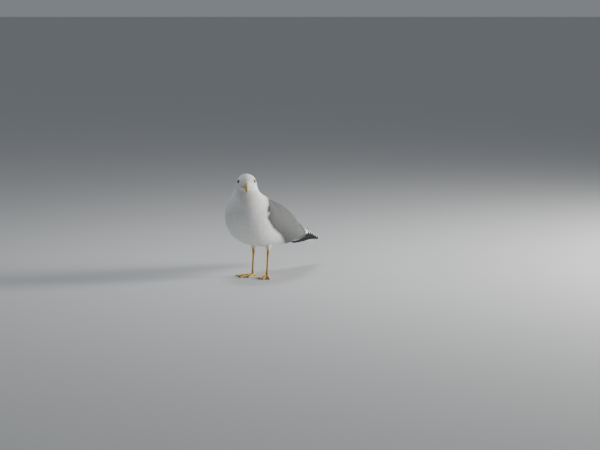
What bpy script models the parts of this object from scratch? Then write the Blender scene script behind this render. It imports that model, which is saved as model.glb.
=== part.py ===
"""Adult yellow-legged gull, life size, standing at rest with its head turned to its left.

Metres, +Z up. The bird faces -Y, its left side is toward +X, and its soles lie on z = 0. The origin is
on the floor under the middle of the bird's box. Sizes below are measured from the midpoint between the
feet; ORIGIN_BEHIND_FEET moves the finished bird onto its origin.
"""

import math

import bmesh
import bpy
import numpy as np
from mathutils import Matrix

# ---------------------------------------------------------------- driving dimensions
ORIGIN_BEHIND_FEET = 0.0781  # from the midpoint of the feet back to the middle of the box
GAP = 0.0003  # left between two pieces that meet
COVER_GAP = 0.0015  # left between the trunk and the feather covers that lie on it

# The body is swept through stations, from the tail root forward and up over the crown to the bill root.
# Each holds its top (y, z), its bottom (y, z), its half width, and how far up from bottom to top it is
# widest.
BODY = np.array([
    [+0.176, 0.1110, +0.174, 0.0816, 0.0185, 0.45],  # tail root
    [+0.150, 0.1270, +0.140, 0.0832, 0.0225, 0.45],  # vent
    [+0.122, 0.1480, +0.104, 0.0848, 0.0320, 0.42],
    [+0.098, 0.1680, +0.080, 0.0850, 0.0510, 0.40],  # end of the flanks
    [+0.070, 0.1860, +0.048, 0.0855, 0.0680, 0.45],
    [+0.036, 0.2030, +0.014, 0.0870, 0.0745, 0.47],  # belly
    [+0.004, 0.2190, -0.020, 0.0915, 0.0765, 0.50],
    [-0.012, 0.2340, -0.055, 0.1000, 0.0770, 0.50],  # shoulders
    [-0.023, 0.2460, -0.090, 0.1180, 0.0740, 0.50],
    [-0.032, 0.2545, -0.115, 0.1470, 0.0650, 0.50],  # breast
    [-0.040, 0.2610, -0.125, 0.1810, 0.0530, 0.50],  # root of the neck
    [-0.042, 0.2710, -0.119, 0.2140, 0.0410, 0.50],
    [-0.043, 0.2800, -0.108, 0.2370, 0.0340, 0.50],
    [-0.046, 0.2890, -0.101, 0.2500, 0.0305, 0.50],  # nape
    [-0.052, 0.2970, -0.099, 0.2560, 0.0295, 0.50],
    [-0.062, 0.3030, -0.099, 0.2590, 0.0278, 0.50],
    [-0.074, 0.3055, -0.100, 0.2605, 0.0262, 0.50],  # crown
    [-0.086, 0.3025, -0.102, 0.2615, 0.0228, 0.50],  # eyes
    [-0.097, 0.2960, -0.104, 0.2620, 0.0180, 0.50],
    [-0.106, 0.2875, -0.1065, 0.2622, 0.0120, 0.50],
    [-0.111, 0.2820, -0.109, 0.2625, 0.0080, 0.50],  # root of the bill
])
NECK_ROOT, NAPE, BILL_ROOT = 10, 13, 20  # the stations where the trunk, the neck and the head end

# The folded wings and the mantle lie on a cape over the back, which leaves the trunk behind the shoulders.
CAPE = np.vstack([
    [
        [+0.220, 0.1120, +0.214, 0.0985, 0.0215, 0.45],  # behind the tertials
        [+0.192, 0.1245, +0.180, 0.0955, 0.0325, 0.38],
        [+0.160, 0.1440, +0.147, 0.0920, 0.0430, 0.34],
        [+0.126, 0.1670, +0.108, 0.0870, 0.0575, 0.38],
        [+0.088, 0.1920, +0.068, 0.0845, 0.0702, 0.45],
        [+0.050, 0.2120, +0.028, 0.0850, 0.0762, 0.46],
        [+0.012, 0.2265, -0.012, 0.0895, 0.0782, 0.49],
    ],
    BODY[7:11],
])

# The head looks to the left: the stations turn about an upright axis, more and more along the neck.
HEAD_TURN = math.radians(36)
TURN_AXIS_Y = -0.068
TURN_STARTS, TURN_ENDS = 8.5, 14.0  # stations

# Edges of the folded wing on the cape, from the tip of the tertials forward: station, degrees from the top.
WING_UPPER = np.array([
    [-0.3, 66], [0.3, 20], [1.5, 9], [3.0, 11], [4.4, 17], [5.6, 21], [6.8, 23], [7.85, 23],
])
WING_LOWER = np.array([
    [-0.3, 86], [0.8, 110], [2.2, 118], [3.2, 129], [4.0, 138], [4.8, 125], [5.8, 110], [7.1, 100], [8.6, 88],
])
WRIST_BULGE = 0.50  # stations by which the wrist runs ahead of the line between the two edges
MANTLE_FROM, MANTLE_TO = 2.3, 7.55  # stations
MANTLE_EDGE = np.array([[1.0, 3.0], [3, 9.6], [4.4, 15.6], [5.6, 19.6], [6.8, 21.6], [8.0, 21.6]])
MANTLE_RISE = 0.0016  # of the middle of the back over its edges
COVER_THIN, COVER_THICK = 0.0018, 0.0062  # of the feathers of a wing, at its edges and at its middle

# Primaries: the leading edge of the outermost runs through these points of the left side.
PRIMARY_EDGE = np.array([
    [0.0390, 0.098, 0.0892],
    [0.0362, 0.130, 0.0862],
    [0.0305, 0.184, 0.0845],
    [0.0215, 0.240, 0.0840],
    [0.0125, 0.304, 0.0770],
])
PRIMARY_COUNT = 6
PRIMARY_STEP = 0.0125  # each ends this much before the one below it
PRIMARY_ROOT_STEP = 0.0130  # and starts this much behind it
PRIMARY_WIDTH, PRIMARY_THICKNESS = 0.0195, 0.0008
PRIMARY_TIP_FROM = 0.86  # share of its length at which each starts to round off
PRIMARY_CLEAR_Y = 0.217  # where the stack comes out from under the tertials
PRIMARY_WIDENS = 0.0065  # how much broader the vanes are behind that
PRIMARY_STANDS = math.radians(14)  # how much more upright they stand at the end
PRIMARY_PITCH = 0.0015  # from one to the next through the stack
PRIMARY_RISE = 0.0016  # from one to the next across the stack
PRIMARY_SPREAD = 0.9  # by which that grows behind the tertials
PRIMARY_LEAN = math.radians(38)  # of the stack toward the middle, behind the vent

# Tail stations: y, middle z, half height, half width.
TAIL = np.array([
    [0.1768, 0.0962, 0.0146, 0.0180],
    [0.190, 0.0910, 0.0098, 0.0195],
    [0.204, 0.0858, 0.0052, 0.0215],
    [0.218, 0.0814, 0.0024, 0.0240],
    [0.238, 0.0786, 0.0014, 0.0275],
    [0.249, 0.0771, 0.0011, 0.0290],
    [0.254, 0.0767, 0.0009, 0.0276],
])

# Legs and feet.
FOOT_APART = 0.025  # each foot from the middle
THIGH_FOOT_Z, THIGH_HEAD_Z = 0.0835, 0.1010
THIGH_FOOT_R, THIGH_HEAD_R = 0.0062, 0.0115
STUB_HEIGHT, STUB_RADIUS = 0.0090, 0.0044
SHANK = np.array([  # out from the foot, y, z and radius, from the top down
    [0.0010, 0.0050, 0.0830, 0.0036],
    [0.0010, 0.0050, 0.0815, 0.0036],
    [0.0008, 0.0052, 0.0775, 0.0040],
    [0.0004, 0.0055, 0.0730, 0.0049],
    [0.0001, 0.0050, 0.0685, 0.0043],
    [0.0000, 0.0040, 0.0600, 0.0034],
    [0.0000, 0.0022, 0.0420, 0.0031],
    [0.0000, 0.0008, 0.0240, 0.0033],
    [0.0000, 0.0000, 0.0140, 0.0040],
    [0.0000, 0.0000, 0.0104, 0.0043],
    [0.0000, 0.0000, 0.0094, 0.0043],
])
TOE_LENGTHS = (0.038, 0.048, 0.046)  # inner, middle, outer, without their claws
TOE_ANGLES = {1: (-4, 18, 41), -1: (-12, 16, 44)}  # degrees outward from straight ahead, left and right foot
TOE_ROOT_R, TOE_TIP_R = 0.0034, 0.0024
HIND_TOE_LENGTH, HIND_TOE_ANGLE = 0.009, 200
WEB_THICKNESS = 0.0014
WEB_SCALLOP = 0.80  # how far out the middle of each web's edge reaches, as a share of the toes
CLAW_LENGTH, CLAW_RADIUS = 0.0068, 0.0015

# Eyes and bill, on the head before it turns.
EYE_CENTRE = (0.0213, -0.0885, 0.2845)
EYE_RADIUS = 0.0059
BILL_FRONT_Y = -0.1114  # where both halves of the bill leave the head
BILL_LENGTH, LOWER_BILL_LENGTH = 0.0545, 0.0470
CULMEN_Z, TOMIUM_Z, CHIN_Z = 0.2817, 0.2712, 0.2631
BILL_HALF_WIDTH = 0.0076
CULMEN_BENDS, HOOK_DROP = 0.50, 0.0152  # where the ridge starts to curve, and how far it falls
HOOK_STARTS = 0.88  # of the upper bill's length, clear of the lower bill's tip

# Colours (linear), roughness.
WHITE_PLUMAGE = ((0.80, 0.81, 0.80), 0.85)
GREY_PLUMAGE = ((0.25, 0.27, 0.30), 0.80)
BLACK_PLUMAGE = ((0.012, 0.012, 0.014), 0.55)
BILL_HORN = ((0.78, 0.50, 0.08), 0.35)
LEG_SKIN = ((0.62, 0.40, 0.08), 0.55)
EYE_GLOSS = ((0.62, 0.55, 0.28), 0.10)
CLAW_HORN = ((0.03, 0.025, 0.02), 0.40)


# ---------------------------------------------------------------- scene helpers
def clear_scene():
    for obj in list(bpy.data.objects):
        bpy.data.objects.remove(obj, do_unlink=True)


def new_collection(name, hidden=False):
    collection = bpy.data.collections.new(name)
    collection.hide_render = hidden
    bpy.context.scene.collection.children.link(collection)
    return collection


def finish(name, colour_and_roughness):
    """A Principled material of one colour and roughness."""
    colour, roughness = colour_and_roughness
    material = bpy.data.materials.new(name)
    material.use_nodes = True
    shader = material.node_tree.nodes["Principled BSDF"]
    shader.inputs["Base Color"].default_value = (*colour, 1)
    shader.inputs["Roughness"].default_value = roughness
    shader.inputs["Metallic"].default_value = 0
    return material


def add_node(name, mesh, collection, colour_and_roughness=None):
    """Places a mesh in the scene as the named piece."""
    mesh.name = name
    obj = bpy.data.objects.new(name, mesh)
    collection.objects.link(obj)
    if colour_and_roughness:
        mesh.materials.clear()
        mesh.materials.append(finish(name, colour_and_roughness))
        mesh.shade_smooth()
        mesh.set_sharp_from_angle(angle=math.radians(50))
    return obj


def add_cutter(name, mesh, cutters):
    obj = add_node(name, mesh, cutters)
    obj.hide_render = True
    obj.display_type = "WIRE"
    return obj


def add_boolean(obj, cutter, operation):
    modifier = obj.modifiers.new(f"{operation} {cutter.name}", "BOOLEAN")
    modifier.operation = operation
    modifier.solver = "EXACT"
    modifier.object = cutter


# ---------------------------------------------------------------- surface helpers
def through(rows, where):
    """Catmull-Rom curve through the rows, read at fractional row numbers."""
    where = np.asarray(where, float)
    first = np.clip(np.floor(where).astype(int), 0, len(rows) - 2)
    t = (where - first)[..., None]
    before, here, after, beyond = (rows[np.clip(first + k, 0, len(rows) - 1)] for k in (-1, 0, 1, 2))
    return 0.5 * (
        2 * here
        + (after - before) * t
        + (2 * before - 5 * here + 4 * after - beyond) * t**2
        + (3 * here - before - 3 * after + beyond) * t**3
    )


def ease(x):
    """A step from 0 to 1 with level ends."""
    x = np.clip(x, 0, 1)
    return x * x * (3 - 2 * x)


def turned(points, angle):
    """The points turned toward the bird's left about the upright axis of the neck."""
    x, y = points[..., 0], points[..., 1] - TURN_AXIS_Y
    c, s = np.cos(angle), np.sin(angle)
    return np.stack([x * c - y * s, TURN_AXIS_Y + x * s + y * c, points[..., 2]], -1)


def swept(stations, u, v, proud=0.0):
    """Points at station number u and angle v, measured from the top toward the left side.

    Each section is two half ellipses that share the station's width: one up to its top point and one
    down to its bottom point. proud moves the section outward.
    """
    u, v = np.broadcast_arrays(np.asarray(u, float), np.asarray(v, float))
    row = through(stations, u)
    top, bottom, half_width, widest = row[..., 0:2], row[..., 2:4], row[..., 4], row[..., 5:6]
    middle = bottom + widest * (top - bottom)
    up = (top - middle) / np.linalg.norm(top - middle, axis=-1, keepdims=True)
    reach_up = np.linalg.norm(top - middle, axis=-1)
    reach_down = np.linalg.norm(bottom - middle, axis=-1)
    along = np.where(np.cos(v) > 0, reach_up + proud, reach_down + proud) * np.cos(v)
    side = (half_width + proud) * np.sin(v)
    yz = middle + up * along[..., None]
    return np.stack([side, yz[..., 0], yz[..., 1]], -1)


def body_surface(u, v, proud=0.0):
    """The body's own surface, with the turn of the neck and head."""
    turn = HEAD_TURN * ease((np.asarray(u, float) - TURN_STARTS) / (TURN_ENDS - TURN_STARTS))
    return turned(swept(BODY, u, v, proud), turn)


def to_origin(points):
    return np.asarray(points, float) - (0, ORIGIN_BEHIND_FEET, 0)


def mesh_from(points, faces):
    mesh = bpy.data.meshes.new("surface")
    mesh.from_pydata([tuple(p) for p in to_origin(points)], [], faces)
    mesh.update()
    return mesh


def closed_loft(rings):
    """A mesh through rings of points, each end closed with a fan. Rings run clockwise seen from the last."""
    count, around = rings.shape[:2]
    points = np.vstack([rings.reshape(-1, 3), rings[0].mean(0), rings[-1].mean(0)])
    start, end = count * around, count * around + 1
    faces = []
    for i in range(around):
        j = (i + 1) % around
        faces += [(r * around + i, r * around + j, (r + 1) * around + j, (r + 1) * around + i)
                  for r in range(count - 1)]
        faces += [(start, j, i), (end, (count - 1) * around + i, (count - 1) * around + j)]
    return mesh_from(points, faces)


def slab(outer, inner):
    """A closed mesh between two grids of points of the same size, joined round their border.

    Seen from outside, the outer grid's columns run clockwise from its rows.
    """
    rows, columns = outer.shape[:2]
    points = np.vstack([outer.reshape(-1, 3), inner.reshape(-1, 3)])
    under = rows * columns
    faces = []
    for r in range(rows - 1):
        for c in range(columns - 1):
            a, b = r * columns + c, r * columns + c + 1
            d, e = a + columns, b + columns
            faces += [(a, d, e, b), (under + a, under + b, under + e, under + d)]
    border = [c for c in range(columns)]
    border += [r * columns + columns - 1 for r in range(1, rows)]
    border += [(rows - 1) * columns + c for c in range(columns - 2, -1, -1)]
    border += [r * columns for r in range(rows - 2, 0, -1)]
    for a, b in zip(border, border[1:] + border[:1]):
        faces.append((a, b, under + b, under + a))
    return mesh_from(points, faces)


def mirrored(points, side):
    return points * (side, 1, 1)


def slab_facing_out(outer, inner, side):
    """A slab for either side of the bird: the right side's grids are mirrored and read backward."""
    if side > 0:
        return slab(outer, inner)
    return slab(mirrored(outer, side)[:, ::-1], mirrored(inner, side)[:, ::-1])


def tube(path, collection, resolution):
    """A mesh tube along rows of x, y, z and radius, with filled caps."""
    curve = bpy.data.curves.new("tube", "CURVE")
    curve.dimensions = "3D"
    curve.bevel_depth = 1
    curve.bevel_resolution = resolution
    curve.use_fill_caps = True
    spline = curve.splines.new("POLY")
    spline.points.add(len(path) - 1)
    for point, row in zip(spline.points, path):
        point.co = (*to_origin(row[:3]), 1)
        point.radius = row[3]
    return mesh_of_curve(curve, collection)


def mesh_of_curve(curve, collection):
    """The curve's mesh with its caps welded on; the curve itself is removed."""
    obj = bpy.data.objects.new("curve", curve)
    collection.objects.link(obj)
    bpy.context.view_layer.update()
    evaluated = obj.evaluated_get(bpy.context.evaluated_depsgraph_get())
    mesh = bpy.data.meshes.new_from_object(evaluated)
    bpy.data.objects.remove(obj, do_unlink=True)
    welded = bmesh.new()
    welded.from_mesh(mesh)
    bmesh.ops.remove_doubles(welded, verts=welded.verts, dist=1e-6)
    bmesh.ops.recalc_face_normals(welded, faces=welded.faces)
    welded.to_mesh(mesh)
    welded.free()
    return mesh


# ---------------------------------------------------------------- body
def body_length(first, last, rings, around):
    """The stretch of the body between two stations."""
    u = np.linspace(first, last, rings)[:, None]
    v = -np.linspace(0, 2 * math.pi, around, endpoint=False)[None]
    return closed_loft(body_surface(u, v))


def build_trunk(parts):
    return add_node("trunk", body_length(0, NECK_ROOT - 0.015, 19, 30), parts, WHITE_PLUMAGE)


def build_neck(parts):
    return add_node("neck", body_length(NECK_ROOT + 0.015, NAPE - 0.02, 6, 26), parts, WHITE_PLUMAGE)


def build_head(parts, cutters):
    head = add_node("head", body_length(NAPE + 0.02, BILL_ROOT, 14, 24), parts, WHITE_PLUMAGE)
    for side, name in ((1, "left"), (-1, "right")):
        socket = eye_mesh(side, EYE_RADIUS + GAP)
        add_boolean(head, add_cutter(f"eye_socket_{name}", socket, cutters), "DIFFERENCE")
    return head


# ---------------------------------------------------------------- wings, mantle and tail
def cover_grids(u, v, thickness):
    """The outer and inner surfaces of feathers that lie on the cape."""
    return swept(CAPE, u, v, COVER_GAP + thickness), swept(CAPE, u, v, COVER_GAP)


def wing_grids():
    """The left wing's cover of feathers: coverts, scapulars and tertials, without its primaries."""
    s = np.linspace(0, 1, 19)[:, None]
    t = np.linspace(0, 1, 9)[None]
    upper = through(WING_UPPER, s * (len(WING_UPPER) - 1))
    lower = through(WING_LOWER, s * (len(WING_LOWER) - 1))
    edge = upper + t[..., None] * (lower - upper)
    u = edge[..., 0] + WRIST_BULGE * np.sin(math.pi * t) * s**6
    v = np.radians(edge[..., 1])
    fullness = np.sin(math.pi * t) ** 0.7 * np.sin(math.pi * s**0.8) ** 0.7
    return cover_grids(u, v, COVER_THIN + (COVER_THICK - COVER_THIN) * fullness)


def build_wing(side, name, parts):
    outer, inner = wing_grids()
    return add_node(f"wing_{name}", slab_facing_out(outer, inner, side), parts, GREY_PLUMAGE)


def build_mantle(parts):
    """The feathers of the back between the two wings."""
    u = np.linspace(MANTLE_FROM, MANTLE_TO, 12)[:, None]
    across = np.linspace(-1, 1, 7)[None]
    edge = np.radians(np.interp(u, MANTLE_EDGE[:, 0], MANTLE_EDGE[:, 1]))
    share = (u - MANTLE_FROM) / (MANTLE_TO - MANTLE_FROM)
    thickness = COVER_THIN + MANTLE_RISE * (1 - across**2) * np.sqrt(np.sin(math.pi * share))
    outer, inner = cover_grids(u, edge * across, thickness)
    return add_node("mantle", slab(outer, inner), parts, GREY_PLUMAGE)


def primary_grids(order):
    """One primary of the left wing, counted from the outermost: two faces of a cambered vane.

    Its leading edge follows PRIMARY_EDGE. Near its end the vane narrows to a rounded tip that lies a
    third of the way across.
    """
    root_y = PRIMARY_EDGE[0, 1] + PRIMARY_ROOT_STEP * order
    tip_y = PRIMARY_EDGE[-1, 1] - PRIMARY_STEP * order
    s = np.linspace(0, 1, 12) ** 0.65
    q = np.linspace(0, 1, 3)
    y = root_y + (tip_y - root_y) * s
    rows = np.interp(y, PRIMARY_EDGE[:, 1], np.arange(len(PRIMARY_EDGE)))
    edge = through(PRIMARY_EDGE, rows)
    edge[:, 1] = y
    clear = y - PRIMARY_CLEAR_Y
    lean = PRIMARY_LEAN * ease((y - PRIMARY_EDGE[0, 1]) / 0.090) - PRIMARY_STANDS * ease(clear / 0.060)
    across = np.stack([-np.sin(lean), np.zeros_like(y), np.cos(lean)], -1)
    out = np.stack([np.cos(lean), np.zeros_like(y), np.sin(lean)], -1)
    rounding = np.clip((s - PRIMARY_TIP_FROM) / (1 - PRIMARY_TIP_FROM), 0, 1)
    narrowing = np.sqrt(np.clip(1 - rounding**2, 0.004, 1))
    reach = (PRIMARY_WIDTH * (0.82 + 0.18 * np.sin(math.pi * s)) + PRIMARY_WIDENS * ease(clear / 0.030))[:, None]
    place = reach * (0.35 + (q[None] - 0.35) * narrowing[:, None])
    camber = 0.0012 * (0.25 - (q[None] - 0.5) ** 2)
    rise = PRIMARY_RISE * order * (1 + PRIMARY_SPREAD * ease(clear / 0.035))[:, None]
    centre = (
        edge[:, None]
        + across[:, None] * (place + rise)[..., None]
        + out[:, None] * (camber + PRIMARY_PITCH * order)[..., None]
    )
    half = out[:, None] * (PRIMARY_THICKNESS / 2)
    return centre + half, centre - half


def build_primaries(side, name, parts):
    for order in range(PRIMARY_COUNT):
        outer, inner = primary_grids(order)
        mesh = slab_facing_out(outer, inner, side)
        add_node(f"primary_{name}_{order + 1}", mesh, parts, BLACK_PLUMAGE)


def build_tail(parts):
    """Tail coverts that flatten into the closed fan of the tail feathers."""
    rows = through(TAIL, np.linspace(0, len(TAIL) - 1, 12))
    angle = -np.linspace(0, 2 * math.pi, 18, endpoint=False)
    rings = np.stack([
        rows[:, None, 3] * np.sin(angle),
        rows[:, None, 0] + 0 * angle,
        rows[:, None, 1] + rows[:, None, 2] * np.cos(angle),
    ], -1)
    return add_node("tail", closed_loft(rings[::-1]), parts, WHITE_PLUMAGE)


# ---------------------------------------------------------------- head pieces
def eye_mesh(side, radius):
    ball = bmesh.new()
    bmesh.ops.create_uvsphere(ball, u_segments=14, v_segments=8, radius=radius)
    mesh = bpy.data.meshes.new("eye")
    ball.to_mesh(mesh)
    ball.free()
    centre = turned(mirrored(np.array(EYE_CENTRE), side), HEAD_TURN)
    mesh.transform(Matrix.Translation(to_origin(centre)))
    return mesh


def build_eye(side, name, parts):
    return add_node(f"eye_{name}", eye_mesh(side, EYE_RADIUS), parts, EYE_GLOSS)


def bill_half(along_y, ridge_z, edge_z, half_width, sections):
    """One half of the bill: half-ellipse sections from its cutting edge out to its ridge, to a blunt tip."""
    angle = np.linspace(0, math.pi, 9)
    f = 1 - (1 - np.linspace(0, 1, sections)) ** 1.5
    ridge, edge = ridge_z(f)[:, None], edge_z(f)[:, None]
    rings = np.stack([
        half_width(f)[:, None] * np.cos(angle),
        along_y(f)[:, None] + 0 * angle,
        edge + (ridge - edge) * np.sin(angle),
    ], -1)
    if ridge_z(0) < edge_z(0):
        rings = rings[:, ::-1]
    return closed_loft(turned(rings, HEAD_TURN))


def tomium(y):
    """Height of the line where the two halves of the bill meet, which falls toward the tip."""
    share = np.clip((BILL_FRONT_Y - y) / BILL_LENGTH, 0, 1)
    return TOMIUM_Z - 0.0035 * share


def build_bill(parts):
    """The upper half ends in a hook past the lower half, whose gonys bulges below."""
    def upper_y(f):
        return BILL_FRONT_Y - BILL_LENGTH * f

    def upper_ridge(f):
        bend = np.clip((f - CULMEN_BENDS) / (1 - CULMEN_BENDS), 0, 1)
        return CULMEN_Z - 0.0010 * f - HOOK_DROP * (1 - np.sqrt(1 - 0.97 * bend**2))

    def upper_edge(f):
        return tomium(upper_y(f)) + GAP / 2 - 0.0030 * np.clip((f - HOOK_STARTS) / (1 - HOOK_STARTS), 0, 1) ** 0.8

    def upper_width(f):
        return BILL_HALF_WIDTH * (1 - 0.62 * f**1.3) - 0.0014 * f**9

    def lower_y(f):
        return BILL_FRONT_Y - LOWER_BILL_LENGTH * f

    def lower_ridge(f):
        return CHIN_Z - 0.0050 * np.exp(-(((f - 0.68) / 0.22) ** 2)) + 0.0022 * f**6

    def lower_edge(f):
        return tomium(lower_y(f)) - GAP / 2

    def lower_width(f):
        return (BILL_HALF_WIDTH - 0.0004) * (1 - 0.62 * f**1.5)

    add_node("bill_upper", bill_half(upper_y, upper_ridge, upper_edge, upper_width, 14), parts, BILL_HORN)
    add_node("bill_lower", bill_half(lower_y, lower_ridge, lower_edge, lower_width, 12), parts, BILL_HORN)


# ---------------------------------------------------------------- legs and feet
def build_thigh(side, name, parts, cutters):
    """The feathered thigh, where it shows below the belly."""
    cone = bmesh.new()
    bmesh.ops.create_cone(
        cone, cap_ends=True, segments=16, radius1=THIGH_FOOT_R, radius2=THIGH_HEAD_R,
        depth=THIGH_HEAD_Z - THIGH_FOOT_Z,
    )
    mesh = bpy.data.meshes.new("thigh")
    cone.to_mesh(mesh)
    cone.free()
    centre = (side * (FOOT_APART + SHANK[0, 0]), SHANK[0, 1], (THIGH_HEAD_Z + THIGH_FOOT_Z) / 2)
    mesh.transform(Matrix.Translation(to_origin(centre)))
    thigh = add_node(f"thigh_{name}", mesh, parts, WHITE_PLUMAGE)
    u = np.linspace(2.5, 7.5, 19)[:, None]
    v = -np.linspace(0, 2 * math.pi, 36, endpoint=False)[None]
    belly = add_cutter(f"belly_{name}", closed_loft(body_surface(u, v, GAP)), cutters)
    add_boolean(thigh, belly, "DIFFERENCE")


def build_shank(side, name, parts):
    """The bare leg: the end of the tibia, the ankle and the tarsus, in one tube."""
    path = through(SHANK, np.linspace(0, len(SHANK) - 1, 2 * len(SHANK) - 1))
    path[:, 0] = side * (FOOT_APART + path[:, 0])
    add_node(f"shank_{name}", tube(path, parts, resolution=2), parts, LEG_SKIN)


def toe_direction(side, degrees):
    angle = math.radians(degrees)
    return np.array([side * math.sin(angle), -math.cos(angle), 0])


def toe_path(side, degrees, length):
    """Rows of a toe from under the leg to its tip; it lies a little sunk in the plane of the sole."""
    s = np.linspace(0.04, 1, 8)
    radius = TOE_ROOT_R + (TOE_TIP_R - TOE_ROOT_R) * s + 0.0003 * np.cos(s * 6 * math.pi)
    height = radius * 0.86 + 0.0016 * (1 - s) ** 3
    along = np.outer(s * length, toe_direction(side, degrees))
    along[:, 0] += side * FOOT_APART
    along[:, 2] = height
    return np.column_stack([along, radius])


def web_mesh(side, parts):
    """The web as a flat outline from the leg round the three toes, each edge hollowed between them."""
    angles = TOE_ANGLES[side]
    tips = [toe_direction(side, a) * n * 0.97 for a, n in zip(angles, TOE_LENGTHS)]
    outline = [-0.004 * toe_direction(side, angles[1])]
    for first, second in zip(tips, tips[1:]):
        for t in np.linspace(0, 1, 7)[:-1]:
            hollow = 1 - (1 - WEB_SCALLOP) * math.sin(math.pi * t)
            outline.append((first + (second - first) * t) * hollow)
    outline.append(tips[-1])
    curve = bpy.data.curves.new("web", "CURVE")
    curve.dimensions = "2D"
    curve.fill_mode = "BOTH"
    curve.extrude = WEB_THICKNESS / 2 + 0.0003
    spline = curve.splines.new("POLY")
    spline.use_cyclic_u = True
    spline.points.add(len(outline) - 1)
    for point, place in zip(spline.points, outline):
        point.co = (*place[:2], 0, 1)
    mesh = mesh_of_curve(curve, parts)
    centre = (side * FOOT_APART, 0, WEB_THICKNESS / 2 - 0.0003)
    mesh.transform(Matrix.Translation(to_origin(centre)))
    return mesh


def stub_mesh(side):
    """The short upright that carries the leg on the foot."""
    bottom = -0.0008
    cone = bmesh.new()
    bmesh.ops.create_cone(
        cone, cap_ends=True, segments=16, radius1=STUB_RADIUS * 1.25, radius2=STUB_RADIUS,
        depth=STUB_HEIGHT - bottom,
    )
    mesh = bpy.data.meshes.new("stub")
    cone.to_mesh(mesh)
    cone.free()
    centre = (side * FOOT_APART, 0, (STUB_HEIGHT + bottom) / 2)
    mesh.transform(Matrix.Translation(to_origin(centre)))
    return mesh


def floor_mesh(side):
    """A block whose top is the plane of the sole."""
    block = bmesh.new()
    bmesh.ops.create_cube(block, size=0.2)
    mesh = bpy.data.meshes.new("floor")
    block.to_mesh(mesh)
    block.free()
    mesh.transform(Matrix.Translation(to_origin((side * FOOT_APART, 0, -0.1))))
    return mesh


def build_foot(side, name, parts, cutters):
    """Web, three front toes, the hind toe and the stub in one body, cut flat underneath."""
    foot = add_node(f"foot_{name}", web_mesh(side, parts), parts, LEG_SKIN)
    toes = [*zip(TOE_ANGLES[side], TOE_LENGTHS), (HIND_TOE_ANGLE, HIND_TOE_LENGTH)]
    for number, (degrees, length) in enumerate(toes):
        toe = tube(toe_path(side, degrees, length), parts, resolution=3)
        add_boolean(foot, add_cutter(f"toe_{name}_{number}", toe, cutters), "UNION")
    add_boolean(foot, add_cutter(f"stub_{name}", stub_mesh(side), cutters), "UNION")
    add_boolean(foot, add_cutter(f"floor_{name}", floor_mesh(side), cutters), "DIFFERENCE")


def build_claws(side, name, parts):
    """A curved claw before each toe, clear of it by twice the gap, as both ends are a little tilted."""
    for toe, degrees, length in zip(("inner", "middle", "outer"), TOE_ANGLES[side], TOE_LENGTHS):
        s = np.linspace(0, 1, 5)
        along = np.outer(length + 2 * GAP + CLAW_LENGTH * s, toe_direction(side, degrees))
        along[:, 0] += side * FOOT_APART
        along[:, 2] = 0.0026 + 0.0010 * np.sin(math.pi * s) - 0.0018 * s**2
        radius = CLAW_RADIUS * (1 - 0.78 * s**1.3)
        claw = tube(np.column_stack([along, radius]), parts, resolution=1)
        add_node(f"claw_{toe}_{name}", claw, parts, CLAW_HORN)


# ---------------------------------------------------------------- the whole bird
def main():
    clear_scene()
    parts = new_collection("gull")
    cutters = new_collection("cutters", hidden=True)
    build_trunk(parts)
    build_neck(parts)
    build_head(parts, cutters)
    build_bill(parts)
    build_mantle(parts)
    build_tail(parts)
    for side, name in ((1, "left"), (-1, "right")):
        build_eye(side, name, parts)
        build_wing(side, name, parts)
        build_primaries(side, name, parts)
        build_thigh(side, name, parts, cutters)
        build_shank(side, name, parts)
        build_foot(side, name, parts, cutters)
        build_claws(side, name, parts)


main()
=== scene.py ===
"""Looks of a yellow-legged gull at rest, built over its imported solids.

Every shape repeats the bird's own named sizes: body stations, the cape that the folded wings lie on, the
edges of a wing, the stack of primaries, legs and toes. Metres, +Z up; the bird faces -Y and its left side
is toward +X.
"""

import logging
import math
from collections.abc import Callable
from dataclasses import dataclass, field
from enum import Enum

import bpy
import numpy as np
from mathutils import Euler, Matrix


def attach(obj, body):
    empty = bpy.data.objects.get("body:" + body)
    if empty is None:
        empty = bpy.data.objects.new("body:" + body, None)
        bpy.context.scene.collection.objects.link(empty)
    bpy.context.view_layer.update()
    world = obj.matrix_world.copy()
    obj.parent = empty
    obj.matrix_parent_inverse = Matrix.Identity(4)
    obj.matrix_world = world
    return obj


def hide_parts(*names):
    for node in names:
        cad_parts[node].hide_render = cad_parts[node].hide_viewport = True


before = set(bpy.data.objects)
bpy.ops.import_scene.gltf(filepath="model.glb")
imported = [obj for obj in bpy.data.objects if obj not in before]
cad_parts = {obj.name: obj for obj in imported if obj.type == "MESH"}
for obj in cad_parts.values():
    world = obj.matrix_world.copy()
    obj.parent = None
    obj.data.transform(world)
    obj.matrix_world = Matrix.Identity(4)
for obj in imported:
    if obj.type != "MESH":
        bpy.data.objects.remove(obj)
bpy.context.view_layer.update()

log = logging.getLogger("gull")
Array = np.ndarray
Colour = tuple[float, float, float]

ORIGIN_BEHIND_FEET = 0.0781  # from the midpoint of the feet back to the middle of the bird's box


class Side(Enum):
    """The bird's own left and right, as the sign of x."""

    LEFT = 1
    RIGHT = -1

    @property
    def word(self) -> str:
        """The side's name as the nodes spell it."""
        return self.name.lower()


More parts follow.
